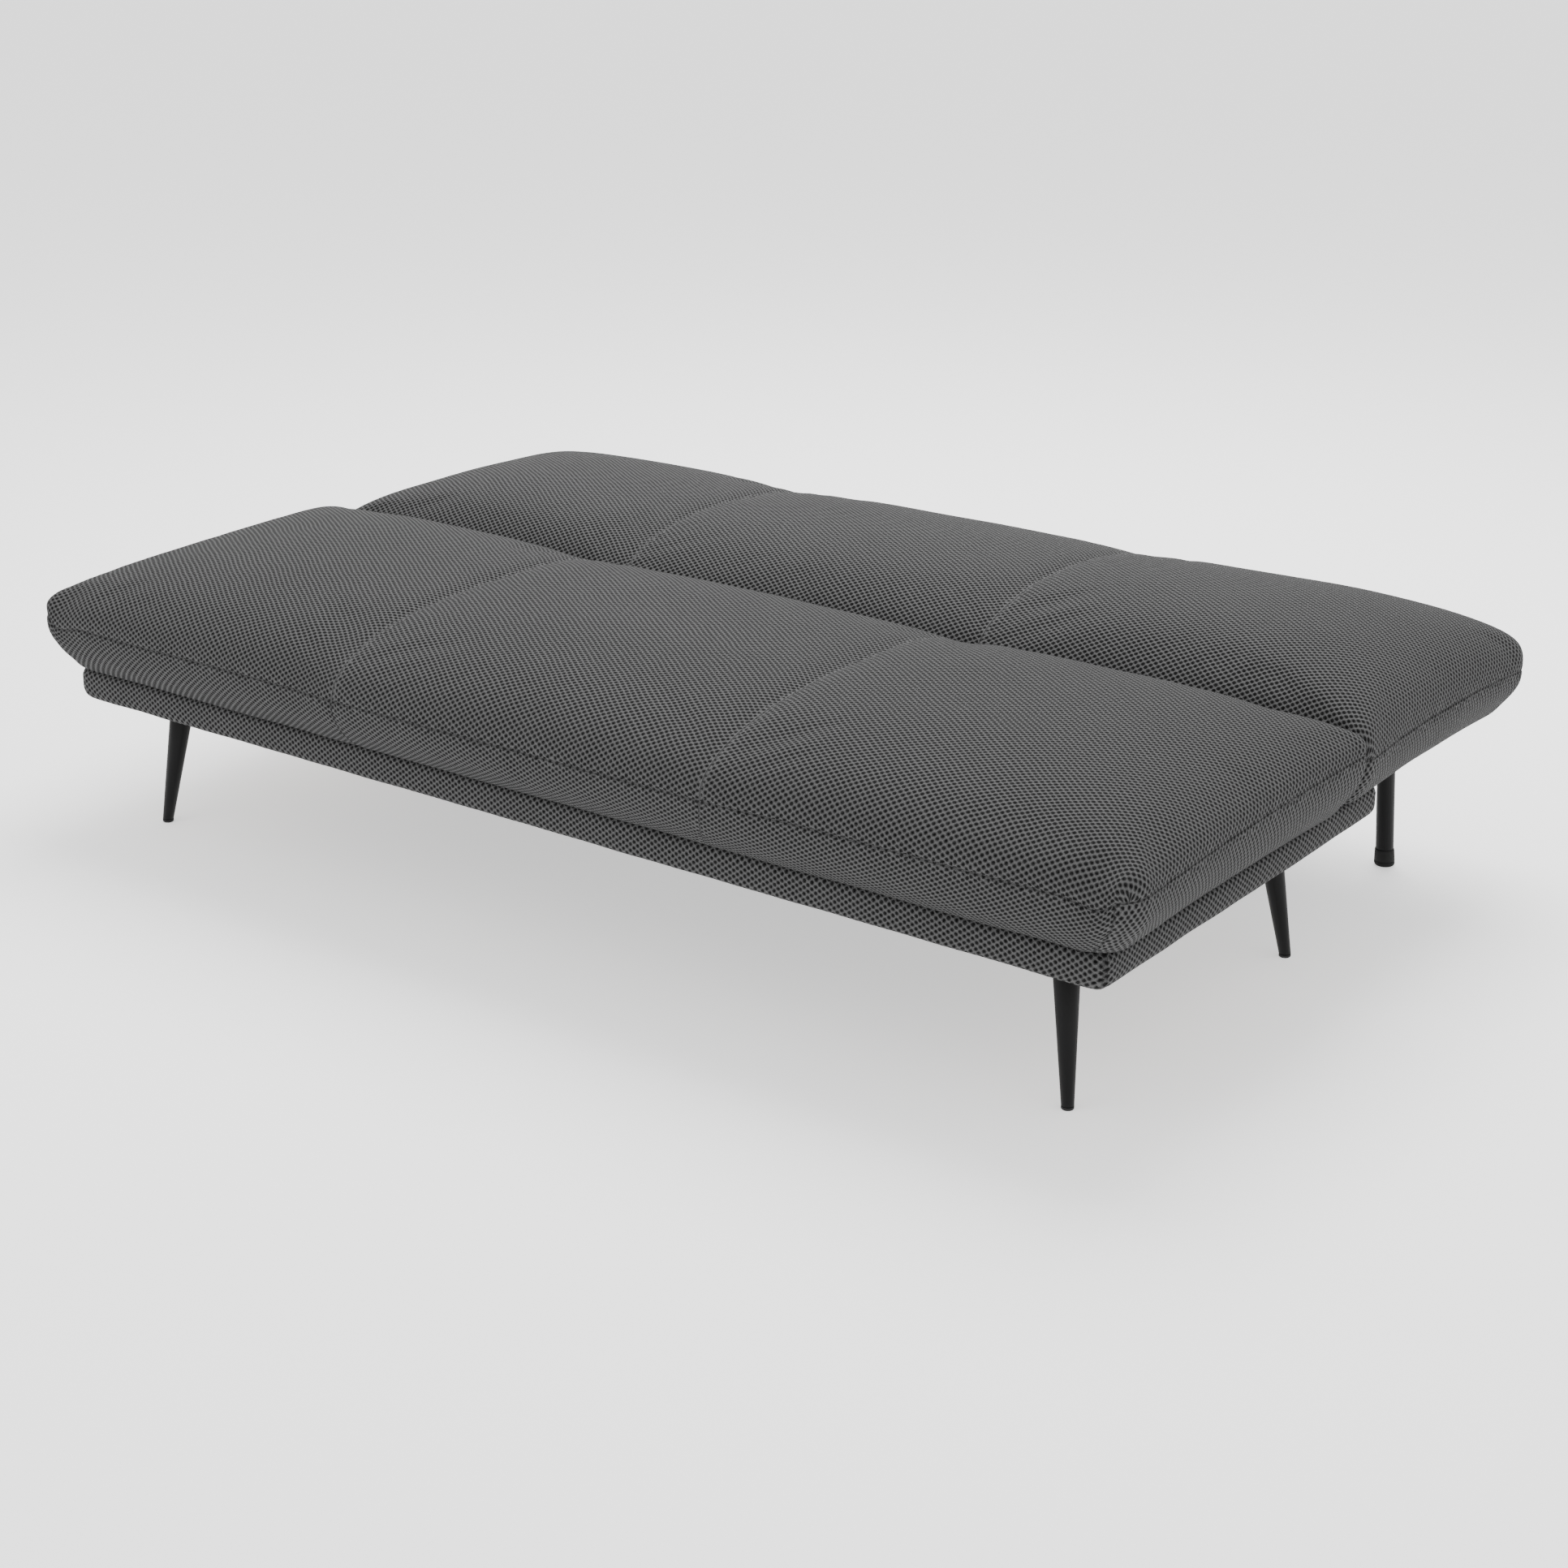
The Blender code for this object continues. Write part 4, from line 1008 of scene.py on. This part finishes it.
# ---------------------------------------------------------------- carried-over CAD nodes
def dress_cad_nodes():
    """Gives every CAD node that stays its finished material."""
    for name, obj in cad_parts.items():
        if obj.hide_render:
            continue
        low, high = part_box(name)
        if name.startswith("seat_slat"):
            material = SLAT_WOOD
        elif name == "back_panel":
            material = PANEL_WOOD
        elif name.endswith(("_rail", "_bearer")):
            material = RAIL_WOOD_X if high.x - low.x > high.y - low.y else RAIL_WOOD_Y
        elif name.startswith(("leg_stud", "support_pin")):
            material = ZINC
        elif name.startswith("hinge_"):
            material = BLACK_ZINC
        elif name.startswith("glide"):
            material = PLASTIC
        else:
            material = BLACK_METAL
        for material_slot in obj.material_slots:
            material_slot.material = material


# ---------------------------------------------------------------- studio
def make_studio():
    bpy.ops.mesh.primitive_plane_add(size=400.0, location=(0.0, 0.0, 0.0))
    floor = bpy.context.object
    floor.name = "studio_floor"
    floor.data.materials.append(studio_floor())

    world = bpy.data.worlds.new("studio")
    bpy.context.scene.world = world
    world.use_nodes = True
    tree = world.node_tree
    # the sky lights the object softly, and looks as pale as the floor where it is seen
    lighting = tree.nodes["Background"]
    lighting.inputs["Strength"].default_value = 1.2
    backdrop = tree.nodes.new("ShaderNodeBackground")
    backdrop.inputs["Strength"].default_value = 1.9
    for background in (lighting, backdrop):
        background.inputs["Color"].default_value = (1.0, 1.0, 1.0, 1.0)
    rays = tree.nodes.new("ShaderNodeLightPath")
    either = tree.nodes.new("ShaderNodeMixShader")
    tree.links.new(rays.outputs["Is Camera Ray"], either.inputs[0])
    tree.links.new(lighting.outputs[0], either.inputs[1])
    tree.links.new(backdrop.outputs[0], either.inputs[2])
    tree.links.new(either.outputs[0], tree.nodes["World Output"].inputs["Surface"])

    # each light's place, its side in metres and its power in watts
    for name, place, size, power in (
        ("overhead", (-0.4, 1.25, 3.15), 2.6, 188.0),
        ("right_fill", (4.2, -1.0, 2.2), 3.0, 4.0),
        ("front_fill", (-2.0, -4.5, 2.8), 3.5, 38.0),
    ):
        light = bpy.data.lights.new(name, "AREA")
        light.size = size
        light.energy = power
        lamp = bpy.data.objects.new(name, light)
        bpy.context.scene.collection.objects.link(lamp)
        lamp.location = place
        aim = Vector((0.0, 0.0, 0.3)) - Vector(place)
        lamp.rotation_euler = aim.to_track_quat("-Z", "Y").to_euler()


def make_camera():
    """The photo's viewpoint, fitted to the feet, the plinth's corners and the cushions' crests."""
    data = bpy.data.cameras.new("camera")
    data.lens = 67.0
    data.sensor_width = 36.0
    data.clip_end = 500.0
    camera = bpy.data.objects.new("camera", data)
    bpy.context.scene.collection.objects.link(camera)
    camera.location = (2.3177, -3.0835, 1.5599)
    look_down, turn_left = math.radians(20.783), math.radians(36.657)
    camera.rotation_euler = (math.pi / 2 - look_down, 0.0, turn_left)
    bpy.context.scene.camera = camera


make_camera()
make_studio()
make_cushions()
make_plinth()
make_linings()
make_metalwork()
dress_cad_nodes()
